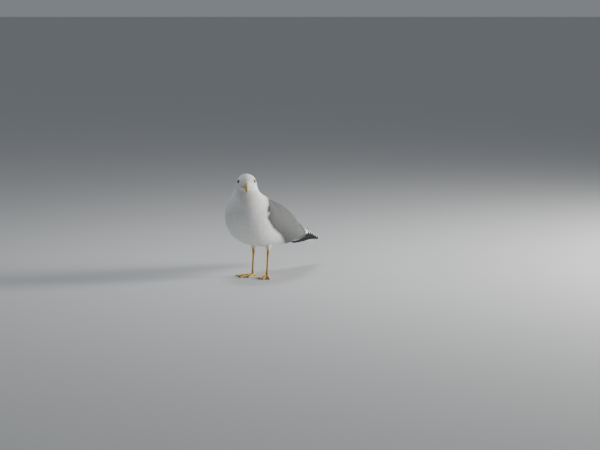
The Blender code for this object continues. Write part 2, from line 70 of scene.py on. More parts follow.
# ------------------------------------------------------------------ curves and forms
def through(rows: Array, where: Array) -> Array:
    """Catmull-Rom curve through rows, read at fractional row numbers.

    Args:
        rows: one row of values for each knot.
        where: row numbers, of any shape.

    Returns:
        The values there, with one more axis than where.
    """
    where = np.asarray(where, float)
    first = np.clip(np.floor(where).astype(int), 0, len(rows) - 2)
    t = (where - first)[..., None]
    before, here, after, beyond = (rows[np.clip(first + k, 0, len(rows) - 1)] for k in (-1, 0, 1, 2))
    return 0.5 * (
        2 * here
        + (after - before) * t
        + (2 * before - 5 * here + 4 * after - beyond) * t**2
        + (3 * here - before - 3 * after + beyond) * t**3
    )


def ease(x: Array) -> Array:
    """A step from 0 to 1 with level ends: x squared times (3 - 2x), with x held between 0 and 1."""
    x = np.clip(x, 0, 1)
    return x * x * (3 - 2 * x)


def hump(x: Array, middle: Array | float, spread: float, power: int = 2) -> Array:
    """A bump of height 1 at the middle: exp(-((x - middle) / spread) to the power)."""
    return np.exp(-(((x - middle) / spread) ** power))


def wrapped(angle: Array) -> Array:
    """Angles in radians, brought between -pi and pi."""
    return (np.asarray(angle) + math.pi) % math.tau - math.pi


def full_turn(count: int) -> Array:
    """That many angles, evenly round a full turn."""
    return np.linspace(0, math.tau, count, endpoint=False)


def together(*values: Array | float) -> list[Array]:
    """The values as float arrays of one shape."""
    return list(np.broadcast_arrays(*(np.asarray(value, float) for value in values)))


def unit(v: Array) -> Array:
    """Vectors scaled to length 1 along the last axis."""
    return v / np.maximum(np.linalg.norm(v, axis=-1, keepdims=True), 1e-12)


def to_origin(points: Array) -> Array:
    """Points measured from the midpoint of the feet, moved to the bird's own origin."""
    return np.asarray(points, float) - (0, ORIGIN_BEHIND_FEET, 0)


@dataclass(frozen=True)
class BodyForm:
    """The smooth form of trunk, neck and head, and the cape over the back that the wings lie on.

    A station holds its top (y, z), its bottom (y, z), its half width and how far up it is widest.
    """

    head_turn: float = math.radians(36)
    turn_axis_y: float = -0.068
    turn_starts: float = 8.5
    turn_ends: float = 14.0
    bill_root: int = 20
    stations: Array = field(default_factory=lambda: np.array([
        [+0.176, 0.1110, +0.174, 0.0816, 0.0185, 0.45],
        [+0.150, 0.1270, +0.140, 0.0832, 0.0225, 0.45],
        [+0.122, 0.1480, +0.104, 0.0848, 0.0320, 0.42],
        [+0.098, 0.1680, +0.080, 0.0850, 0.0510, 0.40],
        [+0.070, 0.1860, +0.048, 0.0855, 0.0680, 0.45],
        [+0.036, 0.2030, +0.014, 0.0870, 0.0745, 0.47],
        [+0.004, 0.2190, -0.020, 0.0915, 0.0765, 0.50],
        [-0.012, 0.2340, -0.055, 0.1000, 0.0770, 0.50],
        [-0.023, 0.2460, -0.090, 0.1180, 0.0740, 0.50],
        [-0.032, 0.2545, -0.115, 0.1470, 0.0650, 0.50],
        [-0.040, 0.2610, -0.125, 0.1810, 0.0530, 0.50],
        [-0.042, 0.2710, -0.119, 0.2140, 0.0410, 0.50],
        [-0.043, 0.2800, -0.108, 0.2370, 0.0340, 0.50],
        [-0.046, 0.2890, -0.101, 0.2500, 0.0305, 0.50],
        [-0.052, 0.2970, -0.099, 0.2560, 0.0295, 0.50],
        [-0.062, 0.3030, -0.099, 0.2590, 0.0278, 0.50],
        [-0.074, 0.3055, -0.100, 0.2605, 0.0262, 0.50],
        [-0.086, 0.3025, -0.102, 0.2615, 0.0228, 0.50],
        [-0.097, 0.2960, -0.104, 0.2620, 0.0180, 0.50],
        [-0.106, 0.2875, -0.1065, 0.2622, 0.0120, 0.50],
        [-0.111, 0.2820, -0.109, 0.2625, 0.0080, 0.50],
    ]))
    cape_rear: Array = field(default_factory=lambda: np.array([
        [+0.220, 0.1120, +0.214, 0.0985, 0.0215, 0.45],
        [+0.192, 0.1245, +0.180, 0.0955, 0.0325, 0.38],
        [+0.160, 0.1440, +0.147, 0.0920, 0.0430, 0.34],
        [+0.126, 0.1670, +0.108, 0.0870, 0.0575, 0.38],
        [+0.088, 0.1920, +0.068, 0.0845, 0.0702, 0.45],
        [+0.050, 0.2120, +0.028, 0.0850, 0.0762, 0.46],
        [+0.012, 0.2265, -0.012, 0.0895, 0.0782, 0.49],
    ]))
    # station, spread in stations, degrees off the top, width in degrees, height
    swellings: tuple[tuple[float, float, float, float, float], ...] = (
        (17.0, 0.8, 65, 8, 0.0015),  # brow
        (18.4, 0.9, 90, 22, -0.0007),  # hollow before the eye
        (15.6, 1.6, 124, 20, 0.0008),  # cheek
    )

    def relief(self, u: Array, v: Array) -> Array:
        """Low swellings of the head, in metres.

        Each is height x exp(-(stations off / spread)^2 - (degrees off / width)^2).
        """
        off_top = np.degrees(np.abs(wrapped(v)))
        raised = (
            height * np.exp(-(((u - station) / spread) ** 2) - ((off_top - angle) / width) ** 2)
            for station, spread, angle, width, height in self.swellings
        )
        return sum(raised)

    def turned(self, points: Array, angle: Array | float) -> Array:
        """Points turned toward the bird's left about the upright axis of the neck, by angle in radians."""
        x, y = points[..., 0], points[..., 1] - self.turn_axis_y
        c, s = np.cos(angle), np.sin(angle)
        return np.stack([x * c - y * s, self.turn_axis_y + x * s + y * c, points[..., 2]], -1)

    def swept(self, rows: Array, u: Array, v: Array, proud: Array | float = 0.0) -> Array:
        """Points at station u and angle v from the top toward the left side.

        A section is two half ellipses that share its width: side = half width x sin v, and up or down =
        reach x cos v along the line from its bottom point to its top point.

        Args:
            rows: stations of the body or of the cape.
            u: station numbers.
            v: angles in radians.
            proud: how far outside the section the point lies.

        Returns:
            Points measured from the midpoint of the feet.
        """
        u, v = together(u, v)
        row = through(rows, u)
        top, bottom, half_width, widest = row[..., 0:2], row[..., 2:4], row[..., 4], row[..., 5:6]
        middle = bottom + widest * (top - bottom)
        reach_up = np.linalg.norm(top - middle, axis=-1)
        reach_down = np.linalg.norm(bottom - middle, axis=-1)
        along = np.where(np.cos(v) > 0, reach_up + proud, reach_down + proud) * np.cos(v)
        yz = middle + unit(top - middle) * along[..., None]
        return np.stack([(half_width + proud) * np.sin(v), yz[..., 0], yz[..., 1]], -1)

    def body(self, u: Array, v: Array, proud: Array | float = 0.0) -> Array:
        """The outer surface of the plumage, or proud of it: the swept stations, turned along the neck."""
        share = (np.asarray(u, float) - self.turn_starts) / (self.turn_ends - self.turn_starts)
        points = self.swept(self.stations, u, v, self.relief(u, v) + proud)
        return self.turned(points, self.head_turn * ease(share))

    def cape(self, u: Array, v: Array, proud: Array | float) -> Array:
        """The surface that the wings and the mantle lie on, pushed outward by proud."""
        return self.swept(np.vstack([self.cape_rear, self.stations[7:11]]), u, v, proud)


FORM = BodyForm()


@dataclass(frozen=True)
class Surface:
    """A surface of two parameters that feathers are laid on; the first falls along their lie."""

    place: Callable[[Array, Array], Array]
    step: float = 1e-3

    def slopes(self, a: Array, b: Array) -> tuple[Array, Array]:
        """The two tangents, by central differences, in metres for each unit of a and of b."""
        e = self.step
        along = (self.place(a + e, b) - self.place(a - e, b)) / (2 * e)
        across = (self.place(a, b + e) - self.place(a, b - e)) / (2 * e)
        return along, across

    def lifted(self, a: Array, b: Array, height: Array | float) -> Array:
        """Points moved off the surface along its outward normal, the product of the two tangents."""
        along, across = self.slopes(a, b)
        return self.place(a, b) + unit(np.cross(along, across)) * np.asarray(height)[..., None]

    def metres(self, a: Array, b: Array) -> tuple[Array, Array]:
        """The lengths of the two tangents."""
        along, across = self.slopes(a, b)
        return np.linalg.norm(along, axis=-1), np.linalg.norm(across, axis=-1)


# ------------------------------------------------------------------ shader maths
class Socket:
    """A shader value that Python's operators work on; each operator adds a Math node."""

    def __init__(self, tree: bpy.types.NodeTree, output: bpy.types.NodeSocket) -> None:
        """Wraps an output of a node in tree."""
        self.tree = tree
        self.output = output

    def math(self, operation: str, *values: "Socket | float") -> "Socket":
        """A Math node of that operation over the values."""
        node = self.tree.nodes.new("ShaderNodeMath")
        node.operation = operation
        for entry, value in zip(node.inputs, values):
            if isinstance(value, Socket):
                self.tree.links.new(value.output, entry)
            else:
                entry.default_value = value
        return Socket(self.tree, node.outputs[0])

    def __add__(self, other: "Socket | float") -> "Socket":
        """self + other."""
        return self.math("ADD", self, other)

    def __sub__(self, other: "Socket | float") -> "Socket":
        """self - other."""
        return self.math("SUBTRACT", self, other)

    def __rsub__(self, other: float) -> "Socket":
        """other - self."""
        return self.math("SUBTRACT", other, self)

    def __mul__(self, other: "Socket | float") -> "Socket":
        """self x other."""
        return self.math("MULTIPLY", self, other)

    __radd__ = __add__
    __rmul__ = __mul__

    def sine(self) -> "Socket":
        """The sine of the value in radians."""
        return self.math("SINE", self)

    def size(self) -> "Socket":
        """The value without its sign."""
        return self.math("ABSOLUTE", self)

    def rise(self, low: float, high: float) -> "Socket":
        """A smooth step from 0 at low to 1 at high; it falls where high is below low."""
        node = self.tree.nodes.new("ShaderNodeMapRange")
        node.interpolation_type = "SMOOTHSTEP"
        values = (low, high, 0, 1) if low < high else (high, low, 1, 0)
        for entry, value in zip(node.inputs[1:5], values):
            entry.default_value = value
        self.tree.links.new(self.output, node.inputs[0])
        return Socket(self.tree, node.outputs[0])


Value = Socket | float | tuple
MIX_FACTOR, MIX_FIRST, MIX_SECOND, MIX_RESULT = 0, 6, 7, 2  # the colour sockets of a Mix node


class Shader:
    """One material's nodes, round a Principled shader."""

    def __init__(self, name: str) -> None:
        """Starts an empty material of that name."""
        self.material = bpy.data.materials.new(name)
        self.material.use_nodes = True
        self.tree = self.material.node_tree
        self.principled = self.tree.nodes["Principled BSDF"]

    def node(self, kind: str, settings: dict | None = None, inputs: dict | None = None,
             output: str | int = 0) -> Socket:
        """Adds one node.

        Args:
            kind: the node's type.
            settings: attributes, which are set first.
            inputs: socket name or number to a value or a Socket.
            output: which output is returned.

        Returns:
            The wrapped output.
        """
        node = self.tree.nodes.new(kind)
        for key, value in (settings or {}).items():
            setattr(node, key, value)
        for key, value in (inputs or {}).items():
            self.feed(node.inputs[key], value)
        return Socket(self.tree, node.outputs[output])

    def feed(self, entry: bpy.types.NodeSocket, value: Value) -> None:
        """Links or sets one input; a colour of three numbers gets an opaque fourth."""
        if isinstance(value, Socket):
            self.tree.links.new(value.output, entry)
        elif isinstance(value, tuple) and len(value) == 3 and entry.type == "RGBA":
            entry.default_value = (*value, 1)
        else:
            entry.default_value = value

    def attribute(self, name: str) -> Socket:
        """A number stored on the piece's points."""
        return self.node("ShaderNodeAttribute", {"attribute_name": name}, output="Fac")

    def mix(self, factor: Value, first: Value, second: Value, blend: str = "MIX") -> Socket:
        """A colour between two others, or blended from them in another way."""
        inputs = {MIX_FACTOR: factor, MIX_FIRST: first, MIX_SECOND: second}
        return self.node("ShaderNodeMix", {"data_type": "RGBA", "blend_type": blend}, inputs, MIX_RESULT)

    def scaled(self, colour: Value, factor: Socket) -> Socket:
        """A colour made brighter or darker by a number."""
        tint = self.node("ShaderNodeCombineColor", None, {0: factor, 1: factor, 2: factor})
        return self.mix(1.0, colour, tint, "MULTIPLY")

    def mapped(self, stretch: tuple) -> Socket:
        """Object coordinates, stretched along the axes."""
        place = self.node("ShaderNodeTexCoord", output="Object")
        return self.node("ShaderNodeMapping", None, {"Vector": place, "Scale": stretch})

    def noise(self, scale: float, detail: float = 2, stretch: tuple = (1, 1, 1)) -> Socket:
        """Noise on Object coordinates, stretched along the axes, from 0 to 1."""
        inputs = {"Vector": self.mapped(stretch), "Scale": scale, "Detail": detail}
        return self.node("ShaderNodeTexNoise", None, inputs)

    def cells(self, scale: float, stretch: tuple) -> Socket:
        """Distance to the nearest edge between cells, on Object coordinates."""
        inputs = {"Vector": self.mapped(stretch), "Scale": scale}
        return self.node("ShaderNodeTexVoronoi", {"feature": "DISTANCE_TO_EDGE"}, inputs)

    def bump(self, height: Socket, strength: float, distance: float) -> Socket:
        """A normal from a height."""
        inputs = {"Strength": strength, "Distance": distance, "Height": height}
        return self.node("ShaderNodeBump", None, inputs)

    def finish(self, colour: Value, roughness: Value, normal: Socket | None = None,
               **constants: float) -> bpy.types.Material:
        """Feeds the shader and returns the material.

        Args:
            colour: base colour.
            roughness: roughness.
            normal: bump, if any.
            constants: other inputs by name, with _ for a space.

        Returns:
            The finished material.
        """
        self.feed(self.principled.inputs["Base Color"], colour)
        self.feed(self.principled.inputs["Roughness"], roughness)
        if normal:
            self.feed(self.principled.inputs["Normal"], normal)
        for key, value in constants.items():
            self.principled.inputs[key.replace("_", " ")].default_value = value
        return self.material


# ------------------------------------------------------------------ finishes
@dataclass(frozen=True)
class Plumage:
    """Feathers: two vane colours, a tip colour, and the fine comb of barbs on either side of the shaft.

    The pieces carry vane_along (0 root to 1 tip), vane_across (-1 to 1), barb (metres along the comb of
    barbs), tone, dusk (share of the second vane colour) and tip (where the pale tip starts).
    """

    name: str
    vane: Colour
    second: Colour
    tip: Colour
    roughness: float = 0.75
    sheen: float = 0.15
    barbs: float = 0.35
    fringe: float = 0.0
    curve: float = 0.10
    specular: float = 0.25
    comb: float = 9500  # radians of the comb's wave in a metre

    def build(self) -> bpy.types.Material:
        """Makes the material."""
        s = Shader(self.name)
        along, across = s.attribute("vane_along"), s.attribute("vane_across")
        tone, dusk, tip = s.attribute("tone"), s.attribute("dusk"), s.attribute("tip")
        side = across.size()
        barb = (s.attribute("barb") * self.comb + tone * 40).sine()
        shaft = side.rise(0.10, 0.0)
        colour = s.mix(dusk, self.vane, self.second)
        shade = tone * 0.16 + 0.90 + along * 0.05 + barb * 0.012 - shaft * 0.04
        colour = s.scaled(colour, shade)
        border = (along + side * side * 0.12).rise(0.86, 1.04)
        colour = s.mix(border * self.fringe, colour, self.tip)
        edge = (along + side * side * self.curve - tip) * 30
        colour = s.mix(edge.rise(-0.6, 0.6), colour, self.tip)
        colour = s.scaled(colour, s.noise(38) * 0.10 + 0.95)
        normal = s.bump(barb * 0.6 + shaft * 0.5, self.barbs, 0.00025)
        return s.finish(colour, self.roughness, normal, Sheen_Weight=self.sheen, Sheen_Roughness=0.5,
                        Specular_IOR_Level=self.specular)


@dataclass(frozen=True)
class BareSkin:
    """The scaly skin of legs and feet: small cells, darker in the furrows, dusky in places."""

    name: str
    skin: Colour
    furrow: Colour
    cell_scale: float = 900
    roughness: float = 0.5

    def build(self) -> bpy.types.Material:
        """Makes the material."""
        s = Shader(self.name)
        cell = s.cells(self.cell_scale, (1, 1, 0.7))
        furrow = cell.rise(0.12, 0.0)
        cloud = s.noise(120, 3)
        colour = s.mix(furrow * 0.55 + cloud.rise(0.45, 0.75) * 0.30, self.skin, self.furrow)
        colour = s.scaled(colour, cloud * 0.35 + 0.82)
        normal = s.bump(cell.rise(0.0, 0.25), 0.5, 0.0002)
        return s.finish(colour, cloud * 0.2 + self.roughness, normal, Coat_Weight=0.05)


@dataclass(frozen=True)
class BillHorn:
    """Yellow horn with a red spot, a duller cutting edge and tip, and near black painted shade in the
    nostril's slit and the mouth's crease.

    The pieces carry along (0 root to 1 tip), spot, slit (the share of painted shade) and edge, each from 0 to
    1.
    """

    name: str
    horn: Colour
    spot: Colour
    pale: Colour
    dark: Colour
    # painted shade: the near black inside the nostril and the mouth's crease
    hollow: Colour = (0.02, 0.014, 0.01)

    def build(self) -> bpy.types.Material:
        """Makes the material."""
        s = Shader(self.name)
        along, spot, slit, edge = (s.attribute(n) for n in ("along", "spot", "slit", "edge"))
        cloud = s.noise(160, 3)
        streak = s.noise(420, 2, (1, 0.25, 1))
        colour = s.mix(along.rise(0.72, 1.0) * 0.65, self.horn, self.pale)
        colour = s.mix(along.rise(0.14, 0.0) * 0.35, colour, self.dark)
        colour = s.mix(edge * 0.45, colour, self.dark)
        colour = s.mix((spot + cloud * 0.25 - 0.12).rise(0.35, 0.6), colour, self.spot)
        # painted shade where slit is 1: the nostril's slit and the dark line of the mouth
        colour = s.mix(slit, colour, self.hollow)
        colour = s.scaled(colour, cloud * 0.20 + streak * 0.14 + 0.84)
        normal = s.bump(streak * 0.5 + cloud * 0.5, 0.25, 0.0002)
        return s.finish(colour, cloud * 0.15 + 0.27, normal, Coat_Weight=0.25, Coat_Roughness=0.2)


@dataclass(frozen=True)
class EyeGloss:
    """Iris, pupil and a dark rim of painted shade where the bare rim meets the ball, under a wet surface; the
    iris is partly painted shade of the brow.

    The piece carries ring and edge, a point's distance in mm from the line of sight and from the eye's axis.
    """

    name: str = "eye_gloss"
    # partly painted shade: the iris is duller than the bird's own pale yellow, and inner_iris darker still
    # round the pupil, for the shade under the brow
    iris: Colour = (0.52, 0.42, 0.15)
    inner_iris: Colour = (0.30, 0.19, 0.05)
    # painted shade round the ball's edge, where the bare rim meets it
    rim: Colour = (0.03, 0.02, 0.012)
    pupil: Colour = (0.002, 0.002, 0.002)
    pupil_mm: float = 2.25
    rim_mm: float = 4.35

    def build(self) -> bpy.types.Material:
        """Makes the material."""
        s = Shader(self.name)
        ring = s.attribute("ring")
        fleck = s.noise(1400, 3)
        colour = s.scaled(self.iris, fleck * 0.5 + 0.70)
        colour = s.mix(ring.rise(self.pupil_mm + 0.9, self.pupil_mm), colour, self.inner_iris)
        # painted shade: darker toward the ball's edge, where the bare rim meets it
        colour = s.mix(s.attribute("edge").rise(self.rim_mm - 0.7, self.rim_mm), colour, self.rim)
        colour = s.mix(ring.rise(self.pupil_mm + 0.10, self.pupil_mm - 0.10), colour, self.pupil)
        return s.finish(colour, 0.08, None, Coat_Weight=1.0, Coat_Roughness=0.02)


@dataclass(frozen=True)
class Horn:
    """A plain dark or coloured horn or bare rim, a little clouded."""

    name: str
    colour: Colour
    roughness: float = 0.35

    def build(self) -> bpy.types.Material:
        """Makes the material."""
        s = Shader(self.name)
        cloud = s.noise(500, 3)
        colour = s.scaled(self.colour, cloud * 0.6 + 0.7)
        return s.finish(colour, cloud * 0.15 + self.roughness, s.bump(cloud, 0.3, 0.0002), Coat_Weight=0.1)


@dataclass(frozen=True)
class StudioFloor:
    """Pale matt paper, with a little unevenness."""

    name: str = "studio_floor"
    paper: Colour = (0.60, 0.605, 0.61)

    def build(self) -> bpy.types.Material:
        """Makes the material."""
        s = Shader(self.name)
        return s.finish(s.scaled(self.paper, s.noise(3, 3) * 0.04 + 0.98), 0.9)


# ------------------------------------------------------------------ meshes
@dataclass
class Sheet:
    """Faces and points of a piece, gathered before it is made: points, quads, attributes and UV by point."""

    points: list[Array] = field(default_factory=list)
    quads: list[Array] = field(default_factory=list)
    values: list[dict[str, Array]] = field(default_factory=list)
    bake: list[Array] = field(default_factory=list)
    count: int = 0

    def add(self, points: Array, quads: Array, bake: Array | None = None, **values: Array) -> None:
        """Adds one block of points (n, 3) with quads into it, and its values by point; one left out is 0."""
        self.points.append(points)
        self.quads.append(quads + self.count)
        self.count += len(points)
        self.bake.append(bake if bake is not None else np.zeros((len(points), 2)))
        self.values.append(values)

    def build(self, name: str, material: bpy.types.Material, slot: str, replaces: tuple[str, ...] = (),
              bake_map: bool = False) -> bpy.types.Object:
        """Makes the piece, rides it on the bird and hides the parts that it stands for.

        Args:
            name: the piece's name.
            material: its finish.
            slot: a material slot's name; not used.
            replaces: nodes that it stands for.
            bake_map: whether it is part of the coat and gets its bake map.

        Returns:
            The new object.
        """
        points, quads = np.vstack(self.points), np.vstack(self.quads)
        mesh = bpy.data.meshes.new(name)
        mesh.vertices.add(len(points))
        mesh.vertices.foreach_set("co", to_origin(points).astype(np.float32).ravel())
        mesh.loops.add(quads.size)
        mesh.loops.foreach_set("vertex_index", quads.astype(np.int32).ravel())
        mesh.polygons.add(len(quads))
        mesh.polygons.foreach_set("loop_start", np.arange(0, quads.size, 4, dtype=np.int32))
        mesh.polygons.foreach_set("use_smooth", np.ones(len(quads), bool))
        if bake_map:
            layer = mesh.uv_layers.new(name="OFBake")
            layer.uv.foreach_set("vector", np.vstack(self.bake)[quads.ravel()].astype(np.float32).ravel())
        for key in sorted({key for block in self.values for key in block}):
            column = [
                np.broadcast_to(block.get(key, 0.0), len(part))
                for block, part in zip(self.values, self.points)
            ]
            numbers = mesh.attributes.new(key, "FLOAT", "POINT")
            numbers.data.foreach_set("value", np.concatenate(column).astype(np.float32))
        mesh.update()
        mesh.validate()
        mesh.materials.append(material)
        piece = bpy.data.objects.new(name, mesh)
        bpy.context.scene.collection.objects.link(piece)
        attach(piece, "root")
        if replaces:
            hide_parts(*replaces)
        log.info("%s: %d quads", name, len(quads))
        return piece


def grid_quads(rows: int, columns: int, ring: bool = False) -> Array:
    """Quads of a grid of points stored row by row.

    Args:
        rows: rows of points.
        columns: points in a row.
        ring: whether each row closes on itself.

    Returns:
        Corner numbers (faces, 4), turning from the row toward the next row.
    """
    r = np.arange(rows - 1)[:, None]
    c = np.arange(columns if ring else columns - 1)[None]
    a, b = r * columns + c, r * columns + (c + 1) % columns
    return np.stack([a, b, b + columns, a + columns], -1).reshape(-1, 4)


def facing_out(points: Array, quads: Array) -> Array:
    """The quads of a closed form, turned round if they enclose a negative volume."""
    a, b, c, d = (points[quads[:, k]] for k in range(4))
    volume = sum(np.einsum("ij,ij->i", a, np.cross(*edge)).sum() for edge in ((b, c), (c, d)))
    return quads if volume > 0 else quads[:, ::-1]


def closed_rings(rings: Array) -> tuple[Array, Array]:
    """A closed form through rings (n, around, 3), with each end drawn in to its middle in one small ring."""
    ends = [np.broadcast_to(r.mean(0), r.shape) + (r - r.mean(0)) * 0.02 for r in (rings[0], rings[-1])]
    rings = np.concatenate([ends[0][None], rings, ends[1][None]])
    count, around = rings.shape[:2]
    points = rings.reshape(-1, 3)
    half = around // 2
    k = np.arange(half - 1)
    cap = np.stack([k, k + 1, around - 2 - k, around - 1 - k], -1)
    quads = np.vstack([grid_quads(count, around, True), cap[:, ::-1], cap + (count - 1) * around])
    return points, facing_out(points, quads)


def slab(outer: Array, inner: Array) -> tuple[Array, Array]:
    """A closed form between two grids of the same size, joined round their border."""
    rows, columns = outer.shape[:2]
    points = np.vstack([outer.reshape(-1, 3), inner.reshape(-1, 3)])
    top = grid_quads(rows, columns)
    index = np.arange(rows * columns).reshape(rows, columns)
    border = np.concatenate([index[0], index[1:, -1], index[-1, -2::-1], index[-2:0:-1, 0]])
    after = np.roll(border, -1)
    wall = np.stack([after, border, border + rows * columns, after + rows * columns], -1)
    return points, facing_out(points, np.vstack([top, top[:, ::-1] + rows * columns, wall]))


def tube(path: Array, radius: Array, around: int, flatten: float = 1.0) -> Array:
    """Rings round a path: the middle plus radius times (side cos, up sin), with the frame held upright.

    Args:
        path: middles (n, 3).
        radius: radii (n) or (n, around).
        around: points in a ring.
        flatten: height of a ring as a share of its width.

    Returns:
        Rings (n, around, 3).
    """
    ahead = unit(np.gradient(path, axis=0))
    steep = np.abs(ahead[:, 2:3]) > 0.8
    reference = np.where(steep, np.array([[0.0, 1.0, 0.0]]), np.array([[0.0, 0.0, 1.0]]))
    side = unit(np.cross(ahead, reference))
    up = np.cross(side, ahead)
    angle = full_turn(around)[None, :, None]
    radius = np.asarray(radius, float).reshape(len(path), -1, 1)
    return path[:, None] + radius * (side[:, None] * np.cos(angle) + up[:, None] * np.sin(angle) * flatten)


def both_faces(values: Array, shape: tuple[int, ...]) -> Array:
    """Values by point for the two faces of a slab whose grids have that shape."""
    return np.tile(np.broadcast_to(values, shape).ravel(), 2)


# ------------------------------------------------------------------ feathers
SEEDS = {"thigh": 5, "body": 11, "wing": 23, "mantle": 31, "tail": 41, "flank": 61, "shoulder": 71}
NO_TIP = 2.0  # a pale tip that would start beyond the end of the vane
PLAIN = {"vane_along": 0.3, "vane_across": 0.5, "tip": NO_TIP}  # what a base under the feathers carries


def draws(part: str) -> np.random.Generator:
    """The random numbers of one part of the plumage, the same in each run."""
    return np.random.default_rng(SEEDS[part])


@dataclass
class Lie:
    """Feathers to lay: one value in each array for each feather, or one for all.

    The roots a and b are the surface's own parameters; sizes, heights and slew are in metres.
    """

    a: Array
    b: Array
    length: Array | float
    width: Array | float
    low: Array | float
    high: Array | float
    slew: Array | float
    tone: Array | float
    dusk: Array | float = 0.0
    tip: Array | float = NO_TIP

    def __post_init__(self) -> None:
        """Gives every feather its own entry in each array."""
        for key, value in list(vars(self).items()):
            setattr(self, key, np.broadcast_to(value, self.a.shape))

    def where(self, keep: Array) -> "Lie":
        """Only the feathers that keep is true for."""
        return Lie(**{key: value[keep] for key, value in vars(self).items()})


@dataclass(frozen=True)
class Vane:
    """The outline of a feather: how its width grows, how round its tip is, and its camber."""

    rows: int = 5
    columns: int = 5
    root: float = 0.45
    broadest: float = 0.5
    end: float = 0.62
    round_tip: float = 0.22
    camber: float = 0.10
    ragged: float = 0.05
    tuck: float = 0.10
    least_scale: float = 5e-4

    def traced(self, surface: Surface, lie: Lie, along: Array, across: Array) -> tuple[Array, Array]:
        """The surface's parameters under each point of the vanes, stepped row by row at its own scale there.

        Args:
            surface: what the vanes lie on.
            lie: their roots.
            along: distances down the lie (feathers, rows, columns), in metres.
            across: distances to the side, in metres.

        Returns:
            The two parameters, in arrays of that shape.
        """
        here_a, here_b = (np.broadcast_to(start[:, None], along[:, 0].shape) for start in (lie.a, lie.b))
        rows_a, rows_b = [], []
        steps = np.diff(along, axis=1, prepend=0.0)
        for row in range(along.shape[1]):
            metre_a, metre_b = surface.metres(here_a, here_b)
            here_a = here_a - steps[:, row] / np.maximum(metre_a, self.least_scale)
            here_b = lie.b[:, None] + across[:, row] / np.maximum(metre_b, self.least_scale)
            rows_a.append(here_a)
            rows_b.append(here_b)
        return np.stack(rows_a, 1), np.stack(rows_b, 1)

    def lay(self, sheet: Sheet, surface: Surface, lie: Lie, mirror: int = 1,
            unwrap: Callable[[Array, Array], Array] | None = None, seed: int = 1) -> None:
        """Adds thin vanes to a sheet.

        At s along the shaft and t across the vane, the place on the surface is root + (length x s x
        (1 - round_tip x t squared x s), half width x outline(s) x t + slew x s squared). The height rises
        from low at the root to high at the tip, less the camber at the edges and a tuck at the tip's end.

        Args:
            sheet: what the vanes are added to.
            surface: what they lie on; its first parameter falls along the lie.
            lie: where they are and their sizes.
            mirror: -1 puts them on the right side.
            unwrap: places the roots on the skin's own unwrap, from 0 to 1.
            seed: for the small unevenness.
        """
        n = len(lie.a)
        shape = (n, self.rows, self.columns)
        rng = np.random.default_rng(seed)
        s = np.linspace(0, 1, self.rows)[None, :, None]
        t = np.linspace(-1, 1, self.columns)[None, None, :]
        each = {key: value[:, None, None] for key, value in vars(lie).items()}
        grow = self.root + (1 - self.root) * ease(s / self.broadest)
        fall = 1 - (1 - self.end) * ease((s - 0.72) / 0.28)
        frayed = 1 + self.ragged * rng.uniform(-1, 1, (n, 1, self.columns)) * s**2
        along = np.broadcast_to(each["length"] * s * (1 - self.round_tip * t**2 * s) * frayed, shape)
        across = np.broadcast_to(each["width"] / 2 * t * grow * fall + each["slew"] * s**2, shape)
        a, b = self.traced(surface, lie, along, across)
        climb = each["high"] - each["low"]
        height = each["low"] + climb * ease(0.15 + 0.85 * s)
        height = height - climb * self.tuck * s**8 - self.camber * each["width"] * t**2 * s
        points = surface.lifted(a, b, height).reshape(-1, 3) * (mirror, 1, 1)
        quads = grid_quads(self.rows, self.columns)
        quads = quads if mirror > 0 else quads[:, ::-1]
        size = self.rows * self.columns
        quads = (quads[None] + (np.arange(n) * size)[:, None, None]).reshape(-1, 4)
        bake = None
        if unwrap:
            root = unwrap(lie.a, lie.b)[:, None, None]
            patch = np.stack(np.broadcast_arrays(0.0015 * t, 0.0030 * s - 0.0015), -1)
            bake = np.clip(root + patch, 0, 1).reshape(-1, 2)
        barb = each["length"] * s - 0.5 * each["width"] * np.abs(t)
        values = {"barb": barb, "vane_along": s, "vane_across": t}
        values.update({key: each[key] for key in ("tone", "dusk", "tip")})
        values = {key: np.broadcast_to(value, shape).ravel() for key, value in values.items()}
        sheet.add(points, quads, bake, **values)


def walk(surface: Surface, columns: Array, first: float, last: float, ratio: float, least: float = 0.0,
         samples: int = 240) -> tuple[Array, Array, Array]:
    """Roots in quincunx: along each column the steps are ratio times the distance to the next column.

    Args:
        surface: what the feathers lie on.
        columns: values of the second parameter, evenly spaced.
        first: the first parameter where the feathers start.
        last: where they end; smaller than first.
        ratio: step along over step across.
        least: smallest step along, in metres.
        samples: points at which each column is measured.

    Returns:
        The two parameters of each root, and the distance between columns there.
    """
    gap = abs(columns[1] - columns[0])
    a = np.linspace(first, last, samples)
    found = []
    for number, b in enumerate(columns):
        metre_a, metre_b = surface.metres(a, np.full(samples, b))
        apart = metre_b * gap
        steps = metre_a / np.maximum(ratio * apart, least)
        total = np.concatenate([[0], np.cumsum((steps[1:] + steps[:-1]) / 2 * np.abs(np.diff(a)))])
        roots = np.interp(np.arange(0.5 * (number % 2), total[-1], 1), total, a)
        found.append(np.stack([roots, np.full(len(roots), b), np.interp(-roots, -a, apart)]))
    return tuple(np.concatenate(found, axis=1))


# ------------------------------------------------------------------ the bird's plumage
COAT_STATIONS = (0, 4, 9, 12, 15, 18, 20)
COAT_DEPTHS = (0.0022, 0.0030, 0.0030, 0.0024, 0.0013, 0.0009, 0.0005)
THIGH_X, THIGH_Y = 0.026, 0.005  # the middle of a thigh's feathers, from the midpoint of the feet
